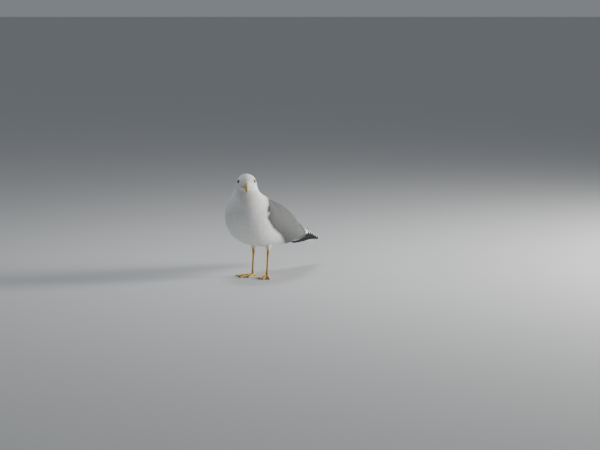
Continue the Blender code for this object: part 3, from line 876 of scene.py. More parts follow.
# The grey of the back, in GREY's vane colours and WHITE's second colour, is darker than the bird's own mid
# grey: that extra darkness is painted shade, the wing's tone in shade.
WHITE = Plumage("white_feathers", (0.80, 0.805, 0.79), (0.094, 0.099, 0.097), (0.85, 0.86, 0.85), sheen=0.1)
GREY = Plumage("grey_feathers", (0.098, 0.103, 0.101), (0.083, 0.087, 0.086), (0.83, 0.84, 0.82), 0.72, 0.05,
               fringe=0.04, curve=0.01)
BLACK = Plumage("black_feathers", (0.006, 0.006, 0.0066), (0.011, 0.011, 0.012), (0.84, 0.84, 0.82), 0.6, 0.0,
                0.20, curve=0.02, specular=0.12)


def coat_depth(u: Array) -> Array:
    """Depth of the coat over the skin at a station: thin on the face, deepest on the breast and belly."""
    return np.interp(u, COAT_STATIONS, COAT_DEPTHS)


def grey_share(u: Array, v: Array) -> Array:
    """1 where the body's plumage is grey: the back, behind a line from the nape's foot round to the wrist."""
    line = 8.20 - 0.9 * np.abs(v) ** 1.5
    return ((u < line) & (np.abs(v) < 1.25) & (u > 2.6)).astype(float)


@dataclass(frozen=True)
class Eyes:
    """Both eyes, seated where the side of the head faces outward and a little forward."""

    station: float = 16.62
    off_top: float = math.radians(82.2)
    depth: float = 0.00334
    radius: float = 0.0059
    rim_reach: float = 0.0050
    rim_width: float = 0.00055
    rim_height: float = 0.00036
    gaze: float = math.radians(24)
    lid_reach: float = 0.0064
    lid_width: float = 0.0021
    lid_height: float = 0.00085
    lid_sinks: float = 0.0010
    back_mm: float = 6.0

    def seat(self, side: Side) -> tuple[Array, Array, Array, Array]:
        """The point of the plumage over the eye, and the outward, forward and upward directions there."""
        surface = Surface(FORM.body)
        u, v = np.array(self.station), np.array(side.value * self.off_top)
        along, across = surface.slopes(u, v)
        out = unit(np.cross(along, across))
        ahead = unit(along - out * (along @ out))
        return surface.place(u, v), out, ahead, side.value * np.cross(ahead, out)

    def centre(self, side: Side) -> Array:
        """The ball's centre, sunk below the plumage."""
        point, out, _, _ = self.seat(side)
        return point - out * self.depth

    def over(self, side: Side, angle: Array, reach: Array, height: Array) -> Array:
        """Points round the eye on the head's own surface.

        The offset reach x (ahead cos angle + up sin angle) is turned into station and angle by the
        inverse of the surface's two tangents, and corrected twice for the surface's curve.

        Args:
            side: which eye.
            angle: round the eye, 0 ahead.
            reach: distance from its axis.
            height: above the plumage.

        Returns:
            The points.
        """
        surface = Surface(FORM.body)
        point, out, ahead, up = self.seat(side)
        angle, reach, height = np.broadcast_arrays(angle, reach, height)
        wanted = reach[..., None] * (ahead * np.cos(angle)[..., None] + up * np.sin(angle)[..., None])
        along, across = surface.slopes(np.array(self.station), np.array(side.value * self.off_top))
        inverse = np.linalg.pinv(np.stack([along, across], -1))
        u, v = np.full(reach.shape, self.station), np.full(reach.shape, side.value * self.off_top)
        for _ in range(3):
            off = surface.place(u, v) - point
            error = wanted - (off - (off @ out)[..., None] * out)
            u = u + error @ inverse[0]
            v = v + error @ inverse[1]
        return surface.lifted(u, v, height)

    def ring(self, side: Side, reach: float, width: float, height: float, lift: float = 0.0,
             crinkle: float = 0.0) -> tuple[Array, Array]:
        """A closed ring over the head.

        Its section is half width x cos w to the side and half height x sin w above lift.

        Args:
            side: which eye.
            reach: distance of the ring's middle from the eye's axis.
            width: half width.
            height: half height.
            lift: height of its middle above the plumage.
            crinkle: share by which the section varies round the ring.

        Returns:
            Points and quads.
        """
        q = full_turn(72)[:, None]
        w = full_turn(12)[None]
        longer = 1 + 0.06 * np.cos(q) ** 2 + 0.03 * np.cos(q)
        uneven = 1 + crinkle * np.sin(16 * q) * np.sin(5 * q + 1)
        outward = reach * longer + width * uneven * np.cos(w)
        rings = self.over(side, q, outward, lift + height * uneven * np.sin(w))
        points = rings.reshape(-1, 3)
        quads = grid_quads(rings.shape[0] + 1, rings.shape[1], ring=True) % len(points)
        return points, facing_out(points - points.mean(0), quads)

    def ball(self, side: Side) -> tuple[Array, Array, Array, Array]:
        """A sphere turned about the eye's axis: axis x cos p + (ahead cos q + up sin q) x sin p.

        Returns:
            Points, quads, and in millimetres the distance of each point from the line of sight, which is
            turned forward from the axis by the gaze, and from the axis.
        """
        p = np.linspace(0.02, math.pi - 0.02, 34)[:, None, None]
        q = full_turn(32)[None, :, None]
        _, out, ahead, up = self.seat(side)
        centre = self.centre(side)
        rings = centre + self.radius * (out * np.cos(p) + (ahead * np.cos(q) + up * np.sin(q)) * np.sin(p))
        points, quads = closed_rings(rings)
        off = points - centre
        distances = []
        for axis in (out * math.cos(self.gaze) + ahead * math.sin(self.gaze), out):
            height = off @ axis
            ring = np.linalg.norm(off - height[:, None] * axis, axis=1) * 1000
            distances.append(np.where(height > 0, ring, self.back_mm))
        return points, quads, *distances

    def build(self) -> None:
        """Makes each ball and its rim of bare skin."""
        gloss = EyeGloss().build()
        bare = Horn("orbital_skin", (0.30, 0.060, 0.022), 0.45).build()
        for side in Side:
            ball, rim = Sheet(), Sheet()
            points, quads, ring, rim_ring = self.ball(side)
            ball.add(points, quads, ring=ring, edge=rim_ring)
            ball.build(f"eyeball_{side.word}", gloss, "eye", (f"eye_{side.word}",))
            rim.add(*self.ring(side, self.rim_reach, self.rim_width, self.rim_height, crinkle=0.10))
            rim.build(f"eye_rim_{side.word}", bare, "leg_skin")


EYES = Eyes()


@dataclass(frozen=True)
class Skin:
    """One skin under the coat of trunk, neck, head and thighs."""

    rings: int = 150
    around: int = 72
    thigh_foot: tuple[float, float] = (0.0837, 0.0056)
    thigh_head: tuple[float, float] = (0.1010, 0.0110)

    def thigh(self, side: Side) -> Array:
        """A short cone round the leg: radius grows from the foot to the head of the thigh."""
        ends = np.array([self.thigh_foot, self.thigh_head])
        z = np.linspace(*ends[:, 0], 10)
        x, y, z = together(side.value * THIGH_X, THIGH_Y, z)
        return tube(np.stack([x, y, z], -1), np.interp(z, *ends.T), 20)

    def build(self) -> None:
        """Makes the skin."""
        sheet = Sheet()
        u = np.linspace(0.02, FORM.bill_root - 0.02, self.rings)[:, None]
        u, v = together(u, full_turn(self.around))
        points, quads = closed_rings(Surface(FORM.body).lifted(u, v, -coat_depth(u)))
        dusk = np.pad(grey_share(u, wrapped(v)), ((1, 1), (0, 0)), mode="edge").ravel()
        sheet.add(points, quads, **PLAIN, tone=0.5, dusk=dusk)
        for side in Side:
            lid = EYES.ring(side, EYES.lid_reach, EYES.lid_width, EYES.lid_height, -EYES.lid_sinks)
            for part in (closed_rings(self.thigh(side)), lid):
                sheet.add(*part, **PLAIN, tone=0.5)
        stands_for = ("trunk", "neck", "head", "thigh_left", "thigh_right")
        sheet.build("skin", WHITE.build(), "white_plumage", stands_for)


@dataclass(frozen=True)
class BodyCoat:
    """The small feathers of head, neck, breast, belly and flanks, in columns from bill to tail root."""

    groups: tuple[tuple[int, float, float], ...] = ((116, 19.93, 14.6), (104, 14.6, 9.6), (88, 9.6, 0.30))
    ratio: float = 0.66
    least_step: float = 0.0011
    deepest_root: float = 0.42
    least_size: float = 0.0011
    crowded: float = 0.0008  # columns closer than this keep every other feather
    rim_clear: float = 0.0003
    shoulder_count: int = 1100
    flank_count: int = 900
    thigh_columns: int = 22
    thigh_foot_z: float = 0.0832
    thigh_height: float = 0.0172
    thigh_radii: tuple[float, float] = (0.0062, 0.0115)
    vane: Vane = Vane(round_tip=0.28, camber=0.012, ragged=0.07, tuck=0.12)
    pieces: tuple[tuple[str, float, float], ...] = (
        ("coat_face", 15.4, 19.97), ("coat_head", 12.4, 15.4), ("coat_neck", 9.6, 12.4),
        ("coat_breast", 7.0, 9.6), ("coat_flanks", 3.4, 7.0), ("coat_belly", -0.3, 3.4),
    )

    @staticmethod
    def unwrap(u: Array, v: Array) -> Array:
        """The skin unrolled: stations upward, the way round across."""
        return np.stack([v % math.tau / math.tau * 0.98 + 0.01, (u + 0.5) / 21 * 0.98 + 0.01], -1)

    @staticmethod
    def covered(u: Array, v: Array) -> Array:
        """True deep under the mantle and the wings, where no body feather shows."""
        off_top = np.abs(wrapped(v))
        lower = np.interp(u, [0, 1.5, 3, 4, 5, 6, 7, 7.6], [0.9, 1.2, 1.75, 1.95, 1.85, 1.6, 1.45, 1.1])
        upper = np.interp(u, [1.4, 2.4], [0.55, 0.0])
        return (u < 7.35) & (u > 0.6) & (off_top < lower) & (off_top >= upper)

    def roots(self, surface: Surface) -> Lie:
        """Every feather of the body, before it is cut into pieces: finer columns on the face than behind."""
        rng = draws("body")
        found = []
        for columns, first, last in self.groups:
            gap = math.tau / columns
            u, v, apart = walk(surface, np.arange(columns) * gap, first, last, self.ratio, self.least_step)
            keep = (apart > self.crowded) | (np.round(v / gap).astype(int) % 2 == 0)
            u, v, apart = u[keep], v[keep], apart[keep]
            found.append(np.stack([u, v + rng.normal(0, 0.10, len(v)) * gap, apart]))
        u, v, apart = np.concatenate(found, axis=1)
        n = len(u)
        size = np.maximum(apart, self.least_size)
        return Lie(
            a=u + rng.normal(0, 0.010, n), b=v,
            length=size * rng.uniform(3.6, 4.3, n), width=size * rng.uniform(2.2, 2.6, n),
            low=-np.minimum(coat_depth(u), 0.0004 + self.deepest_root * size),
            high=rng.uniform(-1, 1, n) * size * 0.012, slew=rng.normal(0, 0.12, n) * size,
            tone=rng.uniform(0, 1, n), dusk=grey_share(u + rng.normal(0, 0.05, n), wrapped(v)),
        ).where(~self.covered(u, v))

    def clear_of_eyes(self, surface: Surface, lie: Lie) -> Array:
        """True for feathers whose root, middle and tip stay outside the bare rims."""
        keep = np.ones(len(lie.a), bool)
        metre_a, _ = surface.metres(lie.a, lie.b)
        for share in (0.0, 0.35, 0.7, 1.0):
            points = surface.place(lie.a - share * lie.length / metre_a, lie.b)
            for side in Side:
                seat, out, _, _ = EYES.seat(side)
                off = points - seat
                beside = np.linalg.norm(off - (off @ out)[:, None] * out, axis=1)
                keep &= (beside > EYES.rim_reach + self.rim_clear) | (off @ out < -0.01)
        return keep

    def build(self) -> None:
        """Makes the pieces of the coat."""
        surface = Surface(FORM.body)
        lie = self.roots(surface)
        lie = lie.where(self.clear_of_eyes(surface, lie))
        white = WHITE.build()
        for seed, (name, low, high) in enumerate(self.pieces):
            sheet = Sheet()
            part = lie.where((lie.a >= low) & (lie.a < high))
            self.vane.lay(sheet, surface, part, unwrap=self.unwrap, seed=seed)
            if low < 3:
                self.thighs(sheet)
            sheet.build(name, white, "white_plumage", bake_map=True)
        for name, laid in (("coat_flank_edge", self.flank_edge), ("coat_shoulders", self.shoulders)):
            sheet = Sheet()
            laid(sheet)
            sheet.build(name, white, "white_plumage", bake_map=True)

    @staticmethod
    def wrist_line(v: Array) -> Array:
        """Station of a folded wing's front edge at an angle from the top: a curve that bulges forward."""
        t = np.clip((np.degrees(np.abs(v)) - 23) / 65, 0, 1)
        return 7.85 + 0.75 * t + 0.50 * np.sin(math.pi * t)

    def shoulders(self, sheet: Sheet) -> None:
        """Feathers from the body back over each wing's front edge, white ahead and grey behind."""
        rng = draws("shoulder")
        n = self.shoulder_count
        degrees = rng.uniform(4, 96, n)
        v = np.radians(degrees)
        ahead = rng.uniform(-0.15, 0.40, n)
        lie = Lie(
            a=self.wrist_line(v) + ahead + 0.36 * ease((degrees - 70) / 16), b=v,
            length=rng.uniform(0.011, 0.015, n), width=rng.uniform(0.0050, 0.0066, n),
            low=-0.0016, high=rng.uniform(-0.0002, 0.0002, n), slew=rng.normal(0, 0.0006, n),
            tone=rng.uniform(0, 1, n),
            dusk=ease((0.33 - ahead + rng.normal(0, 0.03, n)) / 0.06) * ease((86 - degrees) / 7),
        )

        def climbing(u: Array, v: Array) -> Array:
            """The body ahead of the wrist line and the wing's height behind it, with an eased step."""
            degrees = np.degrees(v)
            climb = ease((self.wrist_line(v) + 0.04 - u) / 0.32) * ease((degrees + 2) / 20)
            return FORM.body(u, v, 0.0039 * climb * ease((100 - degrees) / 16))

        for side in Side:
            def unwrap(u: Array, v: Array, sign: int = side.value) -> Array:
                """The body's unwrap on this side."""
                return self.unwrap(u, sign * v)

            self.vane.lay(sheet, Surface(climbing), lie, side.value, unwrap, 9)

    def flank_edge(self, sheet: Sheet) -> None:
        """White feathers of the flank that rise over each folded wing's lower edge, from the wrist back."""
        rng = draws("flank")
        n = self.flank_count
        wings = Wings()
        s = rng.uniform(0.40, 0.96, n)
        lie = Lie(
            a=s, b=1.03 + 0.05 * ease((s - 0.75) / 0.2) + 0.20 * rng.uniform(0, 1, n) ** 1.5,
            length=rng.uniform(0.013, 0.017, n), width=rng.uniform(0.0055, 0.0075, n), low=-0.0018,
            high=rng.uniform(-0.0003, 0.0, n), slew=rng.normal(-0.0010, 0.0005, n), tone=rng.uniform(0, 1, n),
        )
        for side in Side:
            def unwrap(s: Array, t: Array, sign: int = side.value) -> Array:
                """The body's unwrap at the wing's lower edge, a little lower with t."""
                edge = through(wings.lower_edge, s * (len(wings.lower_edge) - 1))
                return self.unwrap(edge[..., 0], sign * (np.radians(edge[..., 1]) + 0.8 * (t - 1)))

            self.vane.lay(sheet, Surface(wings.over_edge), lie, side.value, unwrap, 7)

    def thighs(self, sheet: Sheet) -> None:
        """Short feathers down each thigh: a cone of columns whose first parameter falls toward the ankle."""
        for side in Side:
            def cone(a: Array, b: Array, sign: int = side.value) -> Array:
                """Height a above the ankle's end, angle b round it; clockwise so that it faces out."""
                radius = np.interp(a, [0, self.thigh_height], self.thigh_radii)
                across, back = radius * np.cos(-b), radius * np.sin(-b)
                return np.stack([sign * THIGH_X + across, THIGH_Y + back, self.thigh_foot_z + a], -1)

            surface = Surface(cone, 1e-4)
            rng = draws("thigh")
            columns = np.arange(self.thigh_columns) * (math.tau / self.thigh_columns)
            a, b, _ = walk(surface, columns, 0.020, 0.0028, 0.9)
            n = len(a)
            lie = Lie(
                a=a, b=b, length=0.0062, width=0.0034, low=-0.0012, high=rng.uniform(-0.0003, 0.0002, n),
                slew=rng.normal(0, 0.0003, n), tone=rng.uniform(0, 1, n),
            )
            self.vane.lay(sheet, surface, lie,
                          unwrap=lambda a, b: np.stack([b % math.tau / 6.4, a * 20 + 0.2], -1))


@dataclass(frozen=True)
class Wings:
    """Both folded wings: a closed base with coverts, scapulars, tertials and secondaries over it."""

    upper_edge: Array = field(default_factory=lambda: np.array([
        [-0.3, 66], [0.3, 20], [1.5, 9], [3.0, 11], [4.4, 17], [5.6, 21], [6.8, 23], [7.85, 23],
    ]))
    lower_edge: Array = field(default_factory=lambda: np.array([
        [-0.3, 86], [0.8, 110], [2.2, 118], [3.2, 129], [4.0, 138], [4.8, 125], [5.8, 110], [7.1, 100],
        [8.6, 88],
    ]))
    wrist_bulge: float = 0.50
    cover_gap: float = 0.0015
    thin: float = 0.0018
    thick: float = 0.0062
    covert_vane: Vane = Vane(root=0.5, broadest=0.4, end=0.80, round_tip=0.20, camber=0.018, ragged=0.04)
    long_vane: Vane = Vane(14, 9, root=0.6, broadest=0.3, end=0.70, round_tip=0.10, camber=0.03, ragged=0.008,
                           tuck=0.0)
    scapular_count: int = 16
    tertial_count: int = 10
    upper_tertial_count: int = 5
    secondary_count: int = 13
    # columns, the first and last s, and the step down a column as a share of the distance across
    covert_rows: tuple[tuple[int, float, float, float], ...] = (
        (23, 1.00, 0.84, 0.80), (19, 0.84, 0.66, 0.80), (15, 0.67, 0.50, 0.80), (12, 0.51, 0.33, 0.80),
    )

    def between(self, s: Array, t: Array) -> Array:
        """Station and degrees on the cape, blended straight from the upper edge (t 0) to the lower (t 1)."""
        upper, lower = (through(edge, s * (len(edge) - 1)) for edge in (self.upper_edge, self.lower_edge))
        return upper + t[..., None] * (lower - upper)

    def outside(self, s: Array, t: Array) -> Array:
        """The left wing's outer surface: s from the tips (0) to the wrist (1), t from the upper edge down.

        The two edges are curves of station and angle on the cape, and the cover is thickest in the middle.
        """
        s, t = together(s, t)
        edge = self.between(s, t)
        inside_t, inside_s = np.clip(t, 0, 1), np.clip(s, 0, 1)
        u = edge[..., 0] + self.wrist_bulge * np.sin(math.pi * inside_t) * inside_s**6
        fullness = np.sin(math.pi * inside_t) ** 0.7 * np.sin(math.pi * inside_s**0.8) ** 0.7
        proud = self.cover_gap + self.thin + (self.thick - self.thin) * fullness
        return FORM.cape(u, np.radians(edge[..., 1]), proud)

    def over_edge(self, s: Array, t: Array) -> Array:
        """The flank's surface where it climbs onto the lower edge: the body below it, the wing above it."""
        s, t = together(s, t)
        edge = self.between(s, t)
        climb = ease((1.11 - t) / 0.14) * ease((1.06 - s) / 0.12)
        proud = 0.0001 + (self.cover_gap + self.thin + 0.0005) * climb
        return FORM.cape(edge[..., 0], np.radians(edge[..., 1]), proud)

    def base(self, side: Side) -> tuple[Array, Array]:
        """The closed base under the feathers, a little inside the wing's edges."""
        s, t = together(np.linspace(0.13, 0.945, 40)[:, None], np.linspace(0.04, 0.96, 20))
        layers = (Surface(self.outside).lifted(s, t, sunk) for sunk in (-0.0012, -0.0020))
        return slab(*(layer * (side.value, 1, 1) for layer in layers))

    @staticmethod
    def unwrap(s: Array, t: Array) -> Array:
        """The wing's own two parameters, as the unwrap."""
        return np.stack([np.clip(t, -0.1, 1.1) * 0.8 + 0.1, np.clip(s, -0.1, 1.1) * 0.8 + 0.1], -1)

    def coverts(self, surface: Surface) -> Lie:
        """Rows of coverts and scapulars, small at the wrist and larger toward the rear."""
        rng = draws("wing")
        found = []
        for count, first, last, ratio in self.covert_rows:
            columns = (np.arange(count) + 0.5) / count
            found.append(np.stack(walk(surface, columns, first, last, ratio, 0.0040)))
        s, t, apart = np.concatenate(found, axis=1)
        n = len(s)
        size = np.maximum(apart, 0.0042)
        low_edge = t > 0.86
        return Lie(
            a=s + rng.normal(0, 0.002, n), b=t + rng.normal(0, 0.003, n),
            length=size * rng.uniform(3.0, 3.4, n), width=size * rng.uniform(2.0, 2.3, n),
            low=-0.0006 - 0.07 * size - 0.0034 * ease((s - 0.89) / 0.10),
            high=rng.uniform(-0.00006, 0.00006, n),
            slew=size * (0.10 + 0.25 * low_edge) + rng.normal(0, 0.04, n) * size, tone=rng.uniform(0, 1, n),
            dusk=np.clip(rng.normal(0.3, 0.25, n), 0, 1),
        )

    def scapulars(self) -> Lie:
        """Broad feathers down the upper edge, from the shoulder back; the last few end in white."""
        n = self.scapular_count
        k = np.arange(n)
        row = k % 2
        return Lie(
            a=np.linspace(0.86, 0.36, n), b=0.10 + 0.13 * row + 0.04 * k / n,
            length=np.linspace(0.028, 0.040, n), width=np.linspace(0.013, 0.017, n),
            low=-0.0016, high=0.0004 - 0.0002 * row, slew=np.linspace(0.002, -0.001, n),
            tone=0.35 + 0.1 * (k % 4), dusk=0.25 + 0.1 * (k % 3), tip=np.where(k >= n - 2, 0.90, NO_TIP),
        )

    def tertials(self) -> Lie:
        """Long broad feathers over the rear of the wing, stepped backward down the wing, with white ends."""
        n = self.tertial_count
        k = np.arange(n)
        return Lie(
            a=np.linspace(0.44, 0.345, n), b=np.linspace(0.02, 0.86, n),
            length=np.linspace(0.107, 0.104, n), width=np.linspace(0.018, 0.021, n),
            low=-0.0016, high=0.0014 - 0.00012 * k, slew=np.linspace(0.001, -0.003, n),
            tone=0.35 + 0.1 * (k % 3), dusk=0.30, tip=np.linspace(0.870, 0.845, n),
        )

    def upper_tertials(self) -> Lie:
        """A shorter layer over the tertials by the upper edge, whose white ends make the crescent."""
        n = self.upper_tertial_count
        k = np.arange(n)
        return Lie(
            a=np.linspace(0.405, 0.31, n), b=np.linspace(0.05, 0.52, n),
            length=np.linspace(0.060, 0.062, n), width=0.0195,
            low=-0.0010, high=0.0026 - 0.00015 * k, slew=0.001,
            tone=0.4 + 0.1 * (k % 3), dusk=0.25, tip=0.80,
        )

    def secondaries(self) -> Lie:
        """The rear edge of the wing below the coverts, in feathers stepped along it; most end in white."""
        n = self.secondary_count
        s = np.linspace(0.60, 0.20, n)
        rear = ease((0.50 - s) / 0.20)
        return Lie(
            a=s, b=0.93 + 0.07 * rear, length=np.linspace(0.036, 0.044, n), width=0.0140,
            low=-0.0020, high=0.0006 + 0.0030 * rear, slew=0.0030 + 0.0060 * rear,
            tone=0.3 + 0.1 * (np.arange(n) % 4), dusk=0.5, tip=np.where(s > 0.545, NO_TIP, 0.88),
        )

    def build(self) -> None:
        """Makes the base and the feathers of both wings."""
        grey = GREY.build()
        surface = Surface(self.outside)
        for side in Side:
            base, cover = Sheet(), Sheet()
            base.add(*self.base(side), **PLAIN, tone=0.4, dusk=0.5)
            base.build(f"wing_base_{side.word}", grey, "grey_plumage", (f"wing_{side.word}",), bake_map=True)
            for seed, (vane, lie) in enumerate((
                (self.long_vane, self.secondaries()),
                (self.long_vane, self.tertials()),
                (self.long_vane, self.upper_tertials()),
                (self.long_vane, self.scapulars()),
                (self.covert_vane, self.coverts(surface)),
            )):
                vane.lay(cover, surface, lie, side.value, self.unwrap, seed)
            cover.build(f"wing_feathers_{side.word}", grey, "grey_plumage", bake_map=True)


@dataclass(frozen=True)
class Mantle:
    """The grey feathers of the back between the wings, on the same cape."""

    front: float = 8.0
    rear: float = 1.5
    columns: int = 12
    rise: float = 0.0016
    edge: Array = field(default_factory=lambda: np.array([
        [1.0, 5.0], [3, 11.0], [4.4, 17.0], [5.6, 21.0], [6.8, 23.0], [8.5, 25.0],
    ]))
    vane: Vane = Vane(root=0.5, broadest=0.4, end=0.85, round_tip=0.22, camber=0.015, ragged=0.04)

    def outside(self, u: Array, across: Array) -> Array:
        """The back's surface: across runs from -1 to 1 between the two wings."""
        u, across = together(u, across)
        angle = np.radians(np.interp(u, self.edge[:, 0], self.edge[:, 1])) * across
        sunk = 0.0042 * ease((u - 6.9) / 1.0)
        return FORM.cape(u, angle, 0.0033 + self.rise * (1 - np.clip(across, -1, 1) ** 2) - sunk)

    def build(self) -> None:
        """Makes the back's base and feathers."""
        rng = draws("mantle")
        surface = Surface(self.outside)
        grey = GREY.build()
        base, cover = Sheet(), Sheet()
        u, across = together(np.linspace(2.1, 7.7, 34)[:, None], np.linspace(-0.95, 0.95, 13))
        layers = slab(surface.lifted(u, across, -0.0014), surface.lifted(u, across, -0.0021))
        base.add(*layers, **PLAIN, tone=0.4, dusk=0.5)
        base.build("mantle_base", grey, "grey_plumage", ("mantle",), bake_map=True)
        columns = np.linspace(-1.08, 1.08, self.columns)
        a, b, apart = walk(surface, columns, self.front, self.rear, 0.9, 0.0048)
        n = len(a)
        size = np.maximum(apart, 0.0044)
        lie = Lie(
            a=a + rng.normal(0, 0.01, n), b=b, length=size * 3.6 * rng.uniform(0.9, 1.1, n), width=size * 2.3,
            low=-0.0013, high=rng.uniform(-0.0001, 0.0001, n), slew=rng.normal(0, 0.04, n) * size,
            tone=rng.uniform(0, 1, n), dusk=np.clip(rng.normal(0.3, 0.25, n), 0, 1),
        )
        self.vane.lay(cover, surface, lie, seed=3,
                      unwrap=lambda u, t: np.stack([t * 0.4 + 0.5, u / 9 * 0.9 + 0.02], -1))
        cover.build("mantle_feathers", grey, "grey_plumage", bake_map=True)


@dataclass(frozen=True)
class Primaries:
    """The stacked black wing-tip feathers, each ending in white before the one below it."""

    count: int = 6
    step: float = 0.0125
    root_step: float = 0.0130
    width: float = 0.0195
    tip_from: float = 0.93
    clear_y: float = 0.217
    widens: float = 0.0065
    stands: float = math.radians(14)
    thickness: float = 0.0005
    pitch: float = 0.0015
    rise: float = 0.0016
    spread: float = 0.9
    lean: float = math.radians(38)
    white_end: float = 0.0034
    shaft_at: float = 0.35
    edge: Array = field(default_factory=lambda: np.array([
        [0.0390, 0.098, 0.0892],
        [0.0362, 0.130, 0.0862],
        [0.0305, 0.184, 0.0845],
        [0.0215, 0.240, 0.0840],
        [0.0125, 0.304, 0.0770],
    ]))

    def vane(self, order: int) -> tuple[Array, Array, Array, Array]:
        """Two faces of a cambered vane: its leading edge follows the wing's edge, its end is rounded."""
        root_y = self.edge[0, 1] + self.root_step * order
        tip_y = self.edge[-1, 1] - self.step * order
        s = np.linspace(0, 1, 64) ** 0.65
        q = np.linspace(0, 1, 13)
        y = root_y + (tip_y - root_y) * s
        edge = through(self.edge, np.interp(y, self.edge[:, 1], np.arange(len(self.edge))))
        edge[:, 1] = y
        clear = y - self.clear_y
        lean = self.lean * ease((y - self.edge[0, 1]) / 0.090) - self.stands * ease(clear / 0.060)
        across = np.stack([-np.sin(lean), 0 * y, np.cos(lean)], -1)[:, None]
        out = np.stack([np.cos(lean), 0 * y, np.sin(lean)], -1)[:, None]
        rounding = np.clip((s - self.tip_from) / (1 - self.tip_from), 0, 1)
        narrowing = np.sqrt(np.clip(1 - rounding**2, 0.003, 1)) * (0.2 + 0.8 * ease(s / 0.12))
        reach = self.width * (0.82 + 0.18 * np.sin(math.pi * s)) + self.widens * ease(clear / 0.030)
        place = reach[:, None] * (self.shaft_at + (q - self.shaft_at) * narrowing[:, None])
        camber = 0.0012 * (0.25 - (q[None] - 0.5) ** 2)
        rise = self.rise * order * (1 + self.spread * ease(clear / 0.035))[:, None]
        shaft = 0.00035 * hump(q, self.shaft_at, 0.07) * (1 - s[:, None])
        centre = edge[:, None] + across * (place + rise)[..., None]
        centre = centre + out * (camber + self.pitch * order)[..., None]
        half = out * (self.thickness / 2)
        return centre + half + out * shaft[..., None], centre - half, s, q

    def build(self) -> None:
        """Makes the stack of each side as one piece."""
        black = BLACK.build()
        for side in Side:
            sheet = Sheet()
            for order in range(self.count):
                outer, inner, s, q = self.vane(order)
                shape = outer.shape[:2]
                along = both_faces(s[:, None], shape)
                across = both_faces((q - self.shaft_at) / (1 - self.shaft_at), shape)
                bake = np.stack([across * 0.07 + 0.1 + 0.15 * order, along * 0.9 + 0.05], -1)
                length = self.edge[-1, 1] - self.edge[0, 1] - (self.step + self.root_step) * order
                white = self.white_end if order else 0.7 * self.white_end
                points, quads = slab(outer * (side.value, 1, 1), inner * (side.value, 1, 1))
                sheet.add(points, quads, bake, vane_along=along, vane_across=across, tone=0.15 * order,
                          dusk=0.10 * order, tip=1 - white / length,
                          barb=along * length - np.abs(across) * self.width)
            nodes = tuple(f"primary_{side.word}_{k + 1}" for k in range(self.count))
            sheet.build(f"primaries_{side.word}", black, "black_plumage", nodes, bake_map=True)


@dataclass(frozen=True)
class Tail:
    """White coverts that flatten into a closed fan of tail feathers."""

    rows: Array = field(default_factory=lambda: np.array([
        [0.1768, 0.0962, 0.0146, 0.0180],
        [0.190, 0.0910, 0.0098, 0.0195],
        [0.204, 0.0858, 0.0052, 0.0215],
        [0.218, 0.0814, 0.0024, 0.0240],
        [0.238, 0.0786, 0.0014, 0.0275],
        [0.249, 0.0771, 0.0011, 0.0290],
        [0.254, 0.0767, 0.0009, 0.0276],
    ]))
    feathers: int = 6
    covert_columns: int = 26
    fan_from: float = 0.196
    fan_ends: float = 0.2545
    fan_half_width: float = 0.0064
    vane: Vane = Vane(round_tip=0.25, camber=0.05, ragged=0.06, least_scale=0.008)

    def outside(self, a: Array, b: Array) -> Array:
        """The tail's surface: a falls from 7 at its root to 0 at its end, b turns from the top leftward."""
        a, b = together(a, b)
        row = through(self.rows, 7 - a)
        return np.stack([row[..., 3] * np.sin(b), row[..., 0], row[..., 1] + row[..., 2] * np.cos(b)], -1)

    def fan(self, sheet: Sheet) -> None:
        """Twelve tail feathers: slabs 13 mm wide that narrow to the root, stepped in height and reach."""
        s = np.linspace(0, 1, 16)[:, None]
        t = np.linspace(-1, 1, 7)[None]
        narrows = (0.55 + 0.45 * ease(s / 0.7)) * (1 - 0.25 * ease((s - 0.9) / 0.1))
        for side in Side:
            for k in range(self.feathers):
                y = self.fan_from + (self.fan_ends - 0.0008 * k - 0.0018 * t**2 - self.fan_from) * s
                middle = side.value * (0.0022 + 0.0039 * k)
                x = middle * (0.55 + 0.45 * s) + t * self.fan_half_width * narrows
                step = 0.00075 - 0.00026 * k - 0.0004 * t**2 + 0.00005 * side.value
                z = np.interp(y, self.rows[:, 0], self.rows[:, 1]) + step
                outer = np.stack([x, y, z + 0.00012], -1)
                along, across = both_faces(s, x.shape), both_faces(t, x.shape)
                place = 0.5 + side.value * (0.04 + 0.07 * k)
                bake = np.stack([place + across * 0.03, along * 0.4 + 0.55], -1)
                barb = along * 0.058 - np.abs(across) * self.fan_half_width
                sheet.add(*slab(outer, outer - (0, 0, 0.00024)), bake, vane_along=along, vane_across=across,
                          tone=0.1 * k, tip=NO_TIP, barb=barb)

    def build(self) -> None:
        """Makes the coverts and the fan."""
        sheet = Sheet()
        rng = draws("tail")
        core = self.outside(np.linspace(6.9, 3.2, 16)[:, None], -full_turn(24))
        middle = core.mean(1, keepdims=True)
        sheet.add(*closed_rings(middle + (core - middle) * 0.86), **PLAIN, tone=0.4)
        surface = Surface(self.outside)
        columns = np.arange(self.covert_columns) * (math.tau / self.covert_columns)
        a, b, _ = walk(surface, columns, 7.3, 3.9, 1.0, 0.0035)
        n = len(a)
        lie = Lie(
            a=a, b=b, length=0.0165 * rng.uniform(0.9, 1.1, n), width=0.0085, low=-0.0016,
            high=rng.uniform(-0.0004, 0.0001, n), slew=rng.normal(0, 0.0006, n), tone=rng.uniform(0, 1, n),
        )
        self.vane.lay(sheet, surface, lie,
                      unwrap=lambda a, b: np.stack([b % math.tau / 6.4 + 0.01, a / 8 * 0.5], -1))
        self.fan(sheet)
        sheet.build("tail_feathers", WHITE.build(), "white_plumage", ("tail",), bake_map=True)


# ------------------------------------------------------------------ bill
Profile = tuple[Array, Array, Array, Array]  # y, height of the ridge, height of the edge, half width


